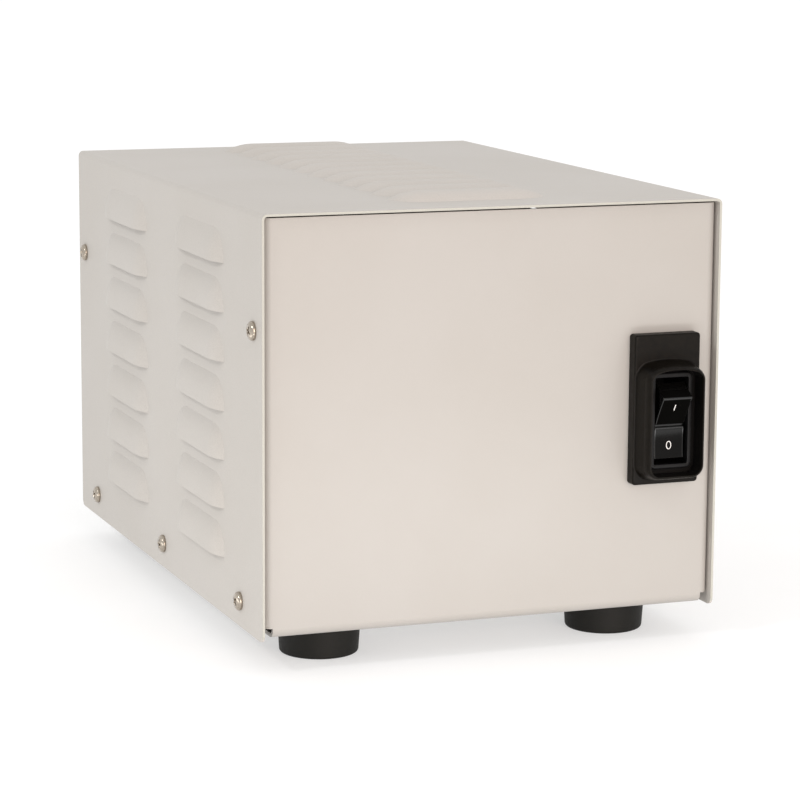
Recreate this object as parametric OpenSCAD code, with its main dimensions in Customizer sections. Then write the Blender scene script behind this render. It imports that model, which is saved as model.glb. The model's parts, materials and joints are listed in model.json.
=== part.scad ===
// Isolation transformer in a louvred steel case, millimetres.
// The case frame has X to the right, Y to the rear and Z up from the cover's lower edge.
// place() then stands the whole on the floor with the middle of its box at the origin.

/* [Cover] */
// Width of the cover across its sides
cover_w = 177.8; // [170:0.2:200]
// Height of the cover's sides
cover_h = 153.6; // [148:0.2:175]
// Depth of the cover from its front rim to its rear rim
cover_d = 254; // [248:0.5:290]
// Thickness of the cover's steel sheet
cover_t = 0.9; // [0.8:0.1:1.6]
// Outside radius of the two top bends
cover_bend_r = 2; // [1.8:0.1:4]
// Radius of the four lower corners
cover_corner_r = 3; // [1:0.5:5]
// Distance that the rims stand proud of the panels
rim_reveal = 1.8; // [1:0.1:4]

/* [Louvres] */
// Length of a louvre along its lip
louvre_l = 61; // [50:0.5:66]
// Distance from a louvre's lip to its closed edge
louvre_h = 12; // [9:0.5:13]
// Rise of the lip above the sheet
louvre_rise = 3.1; // [2.4:0.1:4]
// Gap between a side's highest louvre and the cover's top
louvre_top_gap = 10.5; // [9:0.5:14]
// Gap between the top's end louvres and the cover's rims
louvre_end_gap = 20.9; // [18:0.1:24]
// Louvres in each column of a side
side_louvres = 7; // [3:1:7]
// Louvres in the column on the top
top_louvres = 12; // [6:1:12]
// Height of the lowest lip above the cover's lower edge
louvre_first_z = 21.8; // [19:0.2:24]
// Gap between the two columns of a side
louvre_column_gap = 41.5; // [30:0.5:46]

/* [Chassis] */
// Thickness of the chassis's steel sheet
chassis_t = 1.5; // [1.2:0.1:1.7]
// Outside radius of the chassis's bends
chassis_bend_r = 3.2; // [1.6:0.1:4]
// Gap between the chassis and each side of the cover
side_gap = 0.3; // [0.2:0.1:1]
// Gap between the panels' top edges and the cover
top_gap = 0.7; // [0.4:0.1:1.6]
// Height of the floor's underside above the cover's lower edge
floor_lift = 1; // [0:0.1:1.5]
// Depth of the side flanges of the front and rear panels
panel_flange_w = 16.4; // [14:0.2:18]
// Height of the side flanges of the floor
floor_flange_h = 17.2; // [15:0.2:20]

/* [Feet] */
// Diameter of a rubber foot at its top
foot_d = 31; // [28:0.5:34]
// Diameter of a foot just above its rounded edge
foot_low_d = 29.4; // [24:0.2:30]
// Height of a foot
foot_h = 13.3; // [10:0.1:16]
// Distance from a foot's centre to the cover's side
foot_inset_x = 31.4; // [23:0.1:32]
// Distance from a foot's centre to the cover's rim
foot_inset_y = 30; // [24:0.5:34]

/* [Switch guard] */
// Distance from the guard's middle to the cover's side
guard_inset_x = 22.3; // [20:0.1:40]
// Height of the guard plate's lower edge
guard_z = 48.7; // [40:0.1:50]
// Width of the guard's plate
plate_w = 26.4; // [26:0.1:30]
// Height of the guard's plate
plate_h = 56; // [54:0.5:64]
// Thickness of the guard's plate
plate_t = 5; // [4:0.1:6]
// Width of the collar round the switch
collar_w = 25.2; // [24.8:0.1:25.4]
// Height of the collar
collar_h = 44.4; // [43:0.1:46]
// Thickness of the collar's wall
collar_t = 1.3; // [1.2:0.1:1.6]
// Reach of the collar's rim in front of the panel
collar_reach = 14.6; // [13:0.1:17]

/* [Breaker switch] */
// Width of the breaker's bezel
bezel_w = 17; // [16.8:0.1:17.6]
// Height of the breaker's bezel
bezel_h = 36; // [35.8:0.1:37]
// Width of the rocker
rocker_w = 11.7; // [10:0.1:12.4]
// Length of the rocker's on face, the upper one
rocker_on_l = 13.4; // [12:0.1:13.7]
// Length of the rocker's off face, the lower one
rocker_off_l = 12.5; // [11.5:0.1:13.5]
// Angle between off and on, the rocker's whole throw
rocker_throw = 32; // [20:1:32]

/* [Rear outlets] */
// Distance between the two duplex outlets, as a share of the cover's width
outlet_spread_share = 0.3375; // [0.29:0.0025:0.36]
// Height of the outlets' middle, as a share of the panel's height
outlet_z_share = 0.52; // [0.5:0.01:0.56]
// Diameter of an outlet's face
outlet_face_d = 34.4; // [33:0.1:35]
// Height of an outlet's face between its flats
outlet_face_h = 28.2; // [27:0.1:29]
// Distance between the two faces of one duplex outlet
outlet_pitch = 38.9; // [38.5:0.1:40]

/* [Cord gland] */
// Radius of the bore that takes the supply cord
gland_bore_r = 4.7; // [3:0.1:5]
// Distance from the gland's axis to the cover's side
gland_inset_x = 22; // [20:0.5:26]
// Height of the gland's axis
gland_z = 28; // [26:0.5:32]

/* [Transformer] */
// Width of the core's middle leg
tongue_w = 38.1; // [36:0.1:40]
// Thickness of the stacked laminations
stack_t = 63.5; // [50:0.5:66]
// Distance that the core sits behind the middle
core_shift_y = 4; // [0:1:10]
// Gap between the coil and the core's outer legs
winding_gap = 1.95; // [1:0.05:4]
// The primary winding's share of the room for both windings
primary_share = 0.5; // [0.4:0.01:0.6]

/* [Hidden] */
$fn = 64;

// Overrun of every cut past the face that it leaves
cut_over = 1;
// Radial clearance of a screw in a hole that it passes through
pass_clear = 0.25;
// Radial clearance of a screw in the hole that holds its thread
thread_clear = 0.04;
// Gap between pieces that lie one round the other
lie_gap = 0.1;

// Chassis
bend_relief = 0.5;
panel_y = cover_d / 2 - rim_reveal;
panel_in_y = panel_y - chassis_t;
chassis_half_w = cover_w / 2 - cover_t - side_gap;
panel_top_z = cover_h - cover_t - top_gap;
floor_z = floor_lift + chassis_t;
floor_flange_y = panel_y - panel_flange_w - bend_relief;

// Screws, with shares of the head's radius or height
recess_l_share = 1.1;
recess_w_share = 0.26;
recess_depth_share = 0.55;
head_side_share = 0.98;

// Case screws
case_screw_r = 1.7;
case_screw_l = 9.5;
case_head_r = 3.5;
case_head_h = 2;
lower_screw_inset_y = 26.7;
upper_screw_z_share = 0.725;
upper_screw_z = cover_h * upper_screw_z_share;
upper_screw_y = panel_y - panel_flange_w / 2;
lower_screw_z = floor_lift + floor_flange_h / 2;
lower_screw_y = cover_d / 2 - lower_screw_inset_y;
case_screw_places = [
  [-upper_screw_y, upper_screw_z], [upper_screw_y, upper_screw_z],
  [-lower_screw_y, lower_screw_z], [0, lower_screw_z], [lower_screw_y, lower_screw_z]
];

// Louvres, each the pressed slice of a round-ended cylinder
louvre_sweep = 60;
louvre_r = (louvre_h * louvre_h + louvre_rise * louvre_rise) / (2 * louvre_rise);
louvre_straight = louvre_l / 2 - louvre_h;
louvre_core_r = louvre_r - louvre_rise - 2 * cover_t;
side_pitch = (cover_h - louvre_first_z - louvre_h - louvre_top_gap) / (side_louvres - 1);
top_pitch = (cover_d - louvre_h - 2 * louvre_end_gap) / (top_louvres - 1);

// Feet
foot_edge_r = 1.2;
foot_bore_depth = 5;
foot_bore_r = 6;
foot_screw_r = 2;
foot_head_r = 3.9;
foot_head_h = 2.6;
foot_nut_af = 7;
foot_nut_h = 3.2;
foot_x = cover_w / 2 - foot_inset_x;
foot_y = cover_d / 2 - foot_inset_y;
foot_places = [[-foot_x, -foot_y], [foot_x, -foot_y], [-foot_x, foot_y], [foot_x, foot_y]];

// Guard
plate_corner_r = 1.2;
collar_lift = 2.1;
collar_low_r = 6;
collar_top_r = 4.5;
collar_arch_r = 33;
collar_draft = 1.1;
collar_floor = 7.1;
collar_steps = 6;
collar_lip_share = 0.78;
collar_inner_lip_share = 0.15;
collar_fillet_share = 0.9;
guard_bite_share = 0.64;
guard_screw_r = 1.4;
guard_head_r = 2.6;
guard_head_h = 1.8;
guard_x = cover_w / 2 - guard_inset_x;
collar_z = guard_z + collar_lift;
switch_z = collar_z + collar_h / 2;
plate_top_z = guard_z + plate_h;
collar_lip_r = collar_t * collar_lip_share;
collar_inner_lip_r = collar_t * collar_inner_lip_share;
collar_fillet_r = (plate_w - collar_w) / 2 * collar_fillet_share;
guard_bite = plate_t * guard_bite_share;
guard_screw_low_z = (guard_z + switch_z - bezel_h / 2) / 2;
guard_screw_top_z = (plate_top_z + collar_z + collar_h) / 2;

// Breaker
bezel_t = 2.1;
bezel_wall = 1.85;
bezel_corner_r = 2.2;
bezel_edge_r = 0.7;
bezel_inner_edge_r = 0.3;
bezel_land = 0.5;
bezel_steps = 4;
shell_t = 1;
shell_corner_r = 0.8;
shell_depth = 34;
well_depth = 22;
snap_w = 5;
snap_rise = 0.9;
snap_l = 4;
cutout_clear = 0.1;
shell_w = bezel_w - 2 * bezel_land;
shell_h = bezel_h - 2 * bezel_land;
bezel_front_y = -(panel_y + collar_floor + bezel_t);
bezel_back_y = bezel_front_y + bezel_t;
well_back_y = bezel_front_y + well_depth;
shell_back_y = bezel_front_y + shell_depth;

// Rocker, drawn about its pivot
pivot_depth = 8.8;
rocker_valley = 7.3;
rocker_groove = 0.9;
rocker_groove_depth = 0.6;
rocker_dish = 0.3;
rocker_skirt = 8.6;
rocker_tip_r = 0.5;
rocker_hub_r = 3;
rocker_finger_l = 6;
rocker_finger_w = 2.6;
rocker_steps = 8;
rocker_tip_steps = 3;
trunnion_r = 1.5;
trunnion_clear = 0.05;
trunnion_bite_share = 0.8;
pivot_y = bezel_front_y + pivot_depth;
rocker_tilt = rocker_throw / 2;

// Breaker terminals
blade_w = 6.3;
blade_t = 0.8;
blade_l = 11;
blade_hole_r = 0.9;
blade_rise_share = 0.3;
blade_hole_share = 0.6;

// Outlets
face_proud = 1.3;
face_clear = 0.4;
outlet_side_margin = 0.8;
outlet_end_margin = 2.45;
outlet_body_depth = 24;
outlet_corner_r = 3;
strap_t = 1.2;
strap_w = 18;
strap_screw_margin = 5.65;
strap_end_margin = 10.35;
strap_screw_r = 1.7;
strap_screw_over = 1;
strap_head_r = 3.4;
strap_head_h = 1.9;
strap_nut_af = 7.9;
strap_nut_h = 2.8;
blade_gap = 12.7;
blade_rise = 3.2;
ground_drop = 8.7;
slot_w = 2;
hot_slot_h = 6.8;
neutral_slot_h = 8.4;
ground_hole_r = 2.5;
ground_hole_flat = 1.8;
face_wall = 3;
pocket_w = 4.6;
pocket_h = 9.4;
pocket_depth = 13;
clip_t = 0.6;
clip_h = 7;
clip_l = 11;
clip_gap = 1.3;
ground_clip_gap = 3.2;
side_screw_r = 2;
side_head_r = 3.2;
side_head_h = 1.6;
side_screw_l = 3;
outlet_gap_x = cover_w * outlet_spread_share;
outlet_z = panel_top_z * outlet_z_share;
outlet_body_w = outlet_face_d + 2 * outlet_side_margin;
outlet_body_h = outlet_pitch + outlet_face_h + 2 * outlet_end_margin;
strap_screw_gap = outlet_body_h + 2 * strap_screw_margin;
strap_h = strap_screw_gap + 2 * strap_end_margin;
outlet_back_y = panel_in_y - outlet_body_depth;
pocket_front_y = panel_y + face_proud - face_wall;
pocket_back_y = pocket_front_y - pocket_depth;
side_screw_y = outlet_back_y + outlet_body_depth / 2;

// Gland
gland_thread_r = 9.2;
gland_tail = 3;
gland_neck_l = 9;
gland_flange_af = 22;
gland_flange_t = 4;
gland_through_r = 6;
gland_seal_r = 7;
gland_seal_l = 9.5;
gland_seal_seat = 5;
gland_dome_af = 22;
gland_dome_l = 15;
gland_dome_hex_l = 8;
gland_mouth_r = 6;
gland_edge_r = 2.5;
gland_nut_af = 24;
gland_nut_t = 4.5;
gland_thread_clear = 0.1;
gland_x = cover_w / 2 - gland_inset_x;
gland_reach = gland_flange_t + gland_dome_l;
gland_seal_end = gland_seal_seat + gland_seal_l;

// Where the whole ends, to stand it over the origin
front_reach_y = panel_y + collar_reach;
rear_reach_y = panel_y + gland_reach;
shift_y = (front_reach_y - rear_reach_y) / 2;
shift_z = foot_h - floor_lift;

// Core, in the proportions of scrapless E and I laminations
window_h_share = 1.5;
core_bolt_r = 3;
core_head_af = 10;
core_head_h = 4;
core_nut_h = 5;
core_bolt_over = 2;
leg_w = tongue_w / 2;
window_w = tongue_w / 2;
window_h = tongue_w * window_h_share;
core_w = tongue_w + 2 * window_w + 2 * leg_w;
core_h = window_h + 2 * leg_w;
core_top_z = floor_z + core_h;
core_bolt_y = core_w / 2 - leg_w / 2;
core_low_z = floor_z + leg_w / 2;
core_high_z = core_top_z - leg_w / 2;

// Coil, each layer given by its inset from the core's middle leg
bobbin_t = 1.5;
bobbin_clear = 0.3;
foil_t = 0.3;
wrap_t = 0.6;
coil_corner_r = 0.4;
coil_low_z = floor_z + leg_w + bobbin_clear;
coil_h = window_h - 2 * bobbin_clear;
coil_top_z = coil_low_z + coil_h;
winding_room = window_w - bobbin_clear - bobbin_t - foil_t - wrap_t - 4 * lie_gap - winding_gap;
primary_t = winding_room * primary_share;
secondary_t = winding_room - primary_t;
primary_in = bobbin_clear + bobbin_t + lie_gap;
foil_in = primary_in + primary_t + lie_gap;
secondary_in = foil_in + foil_t + lie_gap;
wrap_in = secondary_in + secondary_t + lie_gap;
coil_build = wrap_in + wrap_t;

// Core clamps
clamp_t = 3;
angle_rise_share = 0.945;
angle_foot = 25;
angle_bend_r = 4;
bar_w_share = 0.84;
mount_hole_share = 0.62;
mount_inset_y = 12.5;
mount_bolt_r = 2.5;
mount_bolt_over = 1;
mount_head_r = 4.7;
mount_head_h = 3;
mount_nut_af = 8;
mount_nut_h = 4;
angle_rise = leg_w * angle_rise_share;
bar_w = leg_w * bar_w_share;
mount_x = stack_t / 2 + angle_foot * mount_hole_share;
mount_y = core_w / 2 - mount_inset_y;

// Terminal block
block_gap_y = 20.4;
block_foot_gap = 14.5;
block_l = 62;
block_w = 20;
block_base_h = 6;
block_rib_h = 14;
block_rib_t = 1.6;
block_ways = 5;
block_ear = 8;
block_ear_h = 4;
block_screw_r = 1.5;
block_head_r = 2.8;
block_head_h = 2;
way_screw_r = 1.6;
way_head_r = 2.6;
way_head_h = 1.8;
way_screw_depth = 4;
way_row_y = 3.6;
way_lead_y = 8.2;
block_x = foot_x - block_foot_gap - block_l / 2;
block_y = -(panel_in_y - block_gap_y - block_w / 2);
way_pitch = (block_l - 2 * block_ear) / block_ways;

// Surge board
board_side_gap = 7.4;
board_front_gap = 4.8;
board_block_gap = 1;
board_l = 43.2;
board_t = 1.6;
board_lift = 9;
board_inset = 3.6;
board_screw_r = 1.25;
board_head_r = 2.3;
board_head_h = 1.5;
board_bite = 3.5;
standoff_af = 5.5;
varistor_r_share = 0.117;
varistor_t = 4.6;
varistor_leg_r = 0.4;
varistor_leg_l = 3.5;
varistor_leg_share = 0.54;
varistor_pitch_share = 0.25;
varistor_row_y = 9;
capacitor_w_share = 0.467;
capacitor_l = 11;
capacitor_h = 19;
capacitor_r = 1;
capacitor_row_y = 10;
board_low_x = board_side_gap - chassis_half_w;
board_high_x = block_x - block_l / 2 - board_block_gap;
board_x = (board_low_x + board_high_x) / 2;
board_w = board_high_x - board_low_x;
board_y = -(panel_in_y - board_front_gap - board_l / 2);
varistor_r = board_w * varistor_r_share;
capacitor_w = board_w * capacitor_w_share;
board_low_z = floor_z + board_lift;
board_top_z = board_low_z + board_t;

// Ground stud
stud_inset_x = 23.1;
stud_inset_y = 38.4;
stud_r = 2.5;
stud_l = 13;
stud_nut_af = 8;
stud_nut_h = 4;
stud_x = chassis_half_w - stud_inset_x;
stud_y = panel_in_y - stud_inset_y;
stud_top_z = floor_z + stud_l;

// Leads
lead_r = 1.2;
lead_bend = 4;
lead_steps = 3;
lead_sides = 8;
lead_rise = 5;
lead_side_share = 0.8;
line_run_y = 10;
line_run_z = 26;
coil_lead_y = 15;
outlet_lead_out = 9;
outlet_lead_z = 10;

// Stands a piece of the case frame over the origin
module place() {
  translate([0, shift_y, shift_z]) children();
}

// Extrudes an outline of Y and Z across the case, centred on X
module across_x(w) {
  rotate([90, 0, 90]) linear_extrude(w, center = true) children();
}

// Extrudes an outline of X and Z along the case, centred on Y
module along_y(d) {
  rotate([90, 0, 0]) linear_extrude(d, center = true) children();
}

// Quarter of a ring, in the corner where both coordinates are negative
module bend_2d(r, t) {
  intersection() {
    difference() {
      circle(r);
      circle(r - t);
    }
    translate([-r, -r]) square(r);
  }
}

// Bent strip: its outer corner at the origin, one leg along +X and one along +Y
module angle_2d(leg_x, leg_y, t, r) {
  translate([r, r]) bend_2d(r, t);
  translate([r, 0]) square([leg_x - r, t]);
  translate([0, r]) square([t, leg_y - r]);
}

// Rectangle with round corners, centred
module round_rect_2d(w, h, r) {
  square([w - 2 * r, h], center = true);
  square([w, h - 2 * r], center = true);
  for (sx = [-1, 1], sy = [-1, 1]) {
    translate([sx * (w / 2 - r), sy * (h / 2 - r)]) circle(r);
  }
}

// Hexagonal prism with a round hole
module hex_nut(af, h, bore_r) {
  difference() {
    cylinder(h = h, r = af / 2 / cos(30), $fn = 6);
    translate([0, 0, -cut_over]) cylinder(h = h + 2 * cut_over, r = bore_r);
  }
}

// Hexagon-headed bolt: the head's seat is at zero and the shank goes down
module hex_bolt(r, l, af, head_h) {
  cylinder(h = head_h, r = af / 2 / cos(30), $fn = 6);
  translate([0, 0, -l]) cylinder(h = l, r = r);
}

// Pan head with a cross recess: the head's seat is at zero and the shank goes down
module pan_screw(r, l, head_r, head_h) {
  dome_r = (head_r * head_r + head_h * head_h) / (2 * head_h);
  recess_l = head_r * recess_l_share;
  recess_w = head_r * recess_w_share;
  recess_z = head_h * (1 - recess_depth_share);
  difference() {
    union() {
      translate([0, 0, -l]) cylinder(h = l, r = r);
      intersection() {
        translate([0, 0, head_h - dome_r]) sphere(dome_r);
        cylinder(h = head_h, r = head_r * head_side_share);
      }
    }
    for (turn = [0, 90]) {
      rotate([0, 0, turn]) translate([-recess_l / 2, -recess_w / 2, recess_z])
        cube([recess_l, recess_w, head_h]);
    }
  }
}

// Points of an arc about a centre, from one angle to another
function arc(c, r, from, to, steps) = [
  for (i = [0:steps]) let (a = from + (to - from) * i / steps) c + r * [cos(a), sin(a)]
];

// The same without its two end points
function open_arc(c, r, from, to, steps) = [
  for (i = [1:steps - 1]) let (a = from + (to - from) * i / steps) c + r * [cos(a), sin(a)]
];

// Rectangle with round corners as points, drawn in by an inset
function rect_outline(w, h, r, d, steps) =
  let (x = w / 2 - r, z = h / 2 - r)
  concat(
    arc([-x, -z], r - d, 180, 270, steps),
    arc([x, -z], r - d, 270, 360, steps),
    arc([x, z], r - d, 0, 90, steps),
    arc([-x, z], r - d, 90, 180, steps)
  );

// Closed shell through [depth, inset] stations, round an outline that takes an inset
module ring_loft(stations, outline) {
  rings = [for (s = stations) [for (q = outline(s[1])) [q[0], s[0], q[1]]]];
  n = len(rings[0]);
  m = len(rings);
  points = [for (ring = rings) each ring];
  faces = [
    for (i = [0:m - 1], j = [0:n - 1])
      let (i2 = (i + 1) % m, j2 = (j + 1) % n)
      each [[i * n + j, i2 * n + j2, i * n + j2], [i * n + j, i2 * n + j, i2 * n + j2]]
  ];
  polyhedron(points = points, faces = faces);
}

// Chassis

module chassis_profile_2d() {
  flat_y = panel_y - chassis_bend_r;
  bend_z = floor_lift + chassis_bend_r;
  translate([-flat_y, floor_lift]) square([2 * flat_y, chassis_t]);
  for (s = [0, 1]) {
    mirror([s, 0]) {
      translate([-flat_y, bend_z]) bend_2d(chassis_bend_r, chassis_t);
      translate([-panel_y, bend_z]) square([chassis_t, panel_top_z - bend_z]);
    }
  }
}

// Bend and leg of a side flange, with the bend's centre at the origin
module flange_2d(leg) {
  bend_2d(chassis_bend_r, chassis_t);
  translate([-chassis_bend_r, 0]) square([chassis_t, leg - chassis_bend_r]);
}

module chassis_flanges() {
  corner_x = chassis_half_w - chassis_bend_r;
  corner_y = panel_y - chassis_bend_r;
  bend_z = floor_lift + chassis_bend_r;
  low_z = bend_z + bend_relief;
  for (sx = [0, 1], sy = [0, 1]) {
    mirror([sx, 0, 0]) mirror([0, sy, 0]) translate([-corner_x, -corner_y, low_z])
      linear_extrude(panel_top_z - low_z) flange_2d(panel_flange_w);
  }
  for (sx = [0, 1]) {
    mirror([sx, 0, 0]) translate([-corner_x, 0, bend_z])
      along_y(2 * floor_flange_y) flange_2d(floor_flange_h);
  }
}

module floor_hole(x, y, r) {
  translate([x, y, floor_lift - cut_over]) cylinder(h = chassis_t + 2 * cut_over, r = r);
}

module panel_hole(x, y, z, r) {
  translate([x, y, z]) rotate([90, 0, 0])
    cylinder(h = 2 * chassis_t + 2 * cut_over, r = r, center = true);
}

module case_screw_holes(x, t, r) {
  for (s = [-1, 1], p = case_screw_places) {
    translate([s * x, p[0], p[1]]) rotate([0, 90, 0])
      cylinder(h = 2 * t + 2 * cut_over, r = r, center = true);
  }
}

module chassis_holes() {
  over = 2 * chassis_t + 2 * cut_over;
  case_screw_holes(chassis_half_w, chassis_t, case_screw_r + thread_clear);
  for (p = foot_places) floor_hole(p[0], p[1], foot_screw_r + pass_clear);
  for (sx = [-1, 1], sy = [-1, 1]) {
    floor_hole(sx * mount_x, core_shift_y + sy * mount_y, mount_bolt_r + pass_clear);
    floor_hole(board_hole_x(sx), board_hole_y(sy), board_screw_r + pass_clear);
  }
  for (s = [-1, 1]) floor_hole(block_screw_x(s), block_y, block_screw_r + thread_clear);
  translate([guard_x, -panel_y, switch_z])
    cube([shell_w + 2 * cutout_clear, over, shell_h + 2 * cutout_clear], center = true);
  for (z = [guard_screw_low_z, guard_screw_top_z]) {
    panel_hole(guard_x, -panel_y, z, guard_screw_r + pass_clear);
  }
  for (s = [-1, 1], t = [-1, 1]) {
    translate([s * outlet_gap_x / 2, panel_y, outlet_z + t * outlet_pitch / 2])
      along_y(over) outlet_face_2d(face_clear);
    panel_hole(s * outlet_gap_x / 2, panel_y, outlet_z + t * strap_screw_gap / 2,
      strap_screw_r + pass_clear);
  }
  panel_hole(gland_x, panel_y, gland_z, gland_thread_r + pass_clear);
}

module chassis_tray() {
  color([0.86, 0.83, 0.79]) difference() {
    union() {
      across_x(2 * (chassis_half_w - chassis_bend_r)) chassis_profile_2d();
      chassis_flanges();
    }
    chassis_holes();
  }
}

// Cover

module cover_profile_2d() {
  corner_x = cover_w / 2 - cover_bend_r;
  corner_z = cover_h - cover_bend_r;
  translate([-corner_x, cover_h - cover_t]) square([2 * corner_x, cover_t]);
  for (s = [0, 1]) {
    mirror([s, 0]) {
      translate([-corner_x, corner_z]) mirror([0, 1]) bend_2d(cover_bend_r, cover_t);
      translate([-cover_w / 2, 0]) square([cover_t, corner_z]);
    }
  }
}

// Half outline of a louvre in radius and length, from a core radius outwards
module louvre_2d(r) {
  intersection() {
    union() {
      translate([0, -louvre_straight]) square([r, 2 * louvre_straight]);
      for (s = [-1, 1]) translate([0, s * louvre_straight]) circle(r);
    }
    translate([louvre_core_r, -louvre_l]) square([r, 2 * louvre_l]);
  }
}

// Swept with the lip on the X axis, the closed edge towards +Y and the sheet's face at zero
module louvre_swept(r) {
  translate([0, 0, louvre_rise - louvre_r]) rotate([0, -90, 0])
    rotate_extrude(angle = louvre_sweep) louvre_2d(r);
}

module louvre_bulge() {
  intersection() {
    louvre_swept(louvre_r);
    translate([-louvre_l, 0, -cover_t]) cube([2 * louvre_l, 2 * louvre_h, cover_t + 2 * louvre_rise]);
  }
}

module louvre_pocket() {
  louvre_swept(louvre_r - cover_t);
}

module at_each_louvre() {
  column_y = (louvre_column_gap + louvre_l) / 2;
  for (s = [0, 1], c = [-1, 1], i = [0:side_louvres - 1]) {
    mirror([s, 0, 0]) translate([cover_w / 2, c * column_y, louvre_first_z + i * side_pitch])
      rotate([90, 0, 90]) children();
  }
  for (i = [0:top_louvres - 1]) {
    translate([0, (i - (top_louvres - 1) / 2) * top_pitch + louvre_h / 2, cover_h])
      rotate([0, 0, 180]) children();
  }
}

module corner_cut_2d() {
  difference() {
    translate([-cut_over, -cut_over]) square(cover_corner_r + cut_over);
    translate([cover_corner_r, cover_corner_r]) circle(cover_corner_r);
  }
}

module wrap_cover() {
  color([0.80, 0.79, 0.77]) difference() {
    union() {
      along_y(cover_d) cover_profile_2d();
      at_each_louvre() louvre_bulge();
    }
    at_each_louvre() louvre_pocket();
    for (s = [0, 1]) {
      mirror([0, s, 0]) translate([0, -cover_d / 2, 0])
        across_x(cover_w + 2 * cut_over) corner_cut_2d();
    }
    case_screw_holes(cover_w / 2, cover_t, case_screw_r + pass_clear);
  }
}

module cover_screws() {
  color([0.78, 0.79, 0.8]) for (s = [0, 1], p = case_screw_places) {
    mirror([s, 0, 0]) translate([cover_w / 2, p[0], p[1]]) rotate([0, 90, 0])
      pan_screw(case_screw_r, case_screw_l, case_head_r, case_head_h);
  }
}

// Feet

module foot(i) {
  low_r = foot_low_d / 2;
  edge = arc([low_r - foot_edge_r, foot_edge_r], foot_edge_r, -90, 0, 6);
  outline = concat([[0, 0]], edge, [[foot_d / 2, foot_h], [0, foot_h]]);
  color([0.14, 0.14, 0.13])
    translate([foot_places[i][0], foot_places[i][1], floor_lift - foot_h])
    difference() {
      rotate_extrude() polygon(outline);
      translate([0, 0, -cut_over]) cylinder(h = foot_bore_depth + cut_over, r = foot_bore_r);
      cylinder(h = foot_h + cut_over, r = foot_screw_r + pass_clear);
    }
}

module foot_screws() {
  seat_z = floor_lift - foot_h + foot_bore_depth;
  length = floor_z + foot_nut_h - seat_z;
  color([0.72, 0.73, 0.74]) for (p = foot_places) {
    translate([p[0], p[1], seat_z]) mirror([0, 0, 1])
      pan_screw(foot_screw_r, length, foot_head_r, foot_head_h);
  }
}

module foot_nuts() {
  color([0.72, 0.73, 0.74]) for (p = foot_places) {
    translate([p[0], p[1], floor_z]) hex_nut(foot_nut_af, foot_nut_h, foot_screw_r + thread_clear);
  }
}

// Guard

// Outline of the collar, arched at the top, drawn in by an inset
function collar_outline(d) =
  let (
    half = collar_w / 2,
    arch_z = collar_z + collar_h - collar_arch_r,
    low_x = half - collar_low_r,
    low_z = collar_z + collar_low_r,
    top_x = half - collar_top_r,
    reach = collar_arch_r - collar_top_r,
    top_z = arch_z + sqrt(reach * reach - top_x * top_x),
    turn = atan2(top_z - arch_z, top_x)
  )
  concat(
    arc([-low_x, low_z], collar_low_r - d, 180, 270, collar_steps),
    arc([low_x, low_z], collar_low_r - d, 270, 360, collar_steps),
    arc([top_x, top_z], collar_top_r - d, 0, turn, collar_steps),
    open_arc([0, arch_z], collar_arch_r - d, turn, 180 - turn, collar_steps),
    arc([-top_x, top_z], collar_top_r - d, 180 - turn, 180, collar_steps)
  );

// Section of the collar as [depth, inset]: fillet on the plate, outer wall, round lip, inner wall
function collar_stations(base_y, rim_y) =
  let (
    inner = collar_draft + collar_t,
    lip = [rim_y + collar_lip_r, collar_draft + collar_lip_r],
    inner_lip = [rim_y + collar_inner_lip_r, inner - collar_inner_lip_r]
  )
  concat(
    arc([base_y - collar_fillet_r, -collar_fillet_r], collar_fillet_r, 0, 90, 4),
    arc(lip, collar_lip_r, 270, 180, 5),
    arc(inner_lip, collar_inner_lip_r, 180, 90, 2),
    [[base_y, inner]]
  );

module collar_shell() {
  stations = collar_stations(-(panel_y + plate_t), -(panel_y + collar_reach));
  ring_loft(stations, function (d) collar_outline(d));
}

module switch_guard() {
  color([0.21, 0.19, 0.18]) difference() {
    union() {
      translate([guard_x, -panel_y - plate_t / 2, guard_z + plate_h / 2])
        along_y(plate_t) round_rect_2d(plate_w, plate_h, plate_corner_r);
      translate([guard_x, -panel_y - collar_floor / 2, 0])
        along_y(collar_floor) polygon(collar_outline(collar_draft + collar_t / 2));
      translate([guard_x, 0, 0]) collar_shell();
    }
    translate([guard_x, -panel_y, switch_z])
      cube([shell_w + 2 * cutout_clear, 2 * collar_reach, shell_h + 2 * cutout_clear], center = true);
    for (z = [guard_screw_low_z, guard_screw_top_z]) {
      translate([guard_x, -panel_y + cut_over, z]) rotate([90, 0, 0])
        cylinder(h = guard_bite + lie_gap + cut_over, r = guard_screw_r + thread_clear);
    }
  }
}

module guard_screws() {
  color([0.72, 0.73, 0.74]) for (z = [guard_screw_low_z, guard_screw_top_z]) {
    translate([guard_x, -panel_in_y, z]) rotate([-90, 0, 0])
      pan_screw(guard_screw_r, chassis_t + guard_bite, guard_head_r, guard_head_h);
  }
}

// Breaker

module bezel_ring() {
  stations = concat(
    [[bezel_back_y, 0]],
    arc([bezel_front_y + bezel_edge_r, bezel_edge_r], bezel_edge_r, 270, 180, 4),
    arc([bezel_front_y + bezel_inner_edge_r, bezel_wall - bezel_inner_edge_r],
      bezel_inner_edge_r, 180, 90, 2),
    [[bezel_back_y, bezel_wall]]
  );
  ring_loft(stations, function (d) rect_outline(bezel_w, bezel_h, bezel_corner_r, d, bezel_steps));
}

// Barb behind the panel that holds the breaker's shell in the cut-out
module snap_barb() {
  translate([0, -panel_in_y, shell_h / 2])
    across_x(snap_w) polygon([[0, 0], [0, snap_rise], [snap_l, 0]]);
}

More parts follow.
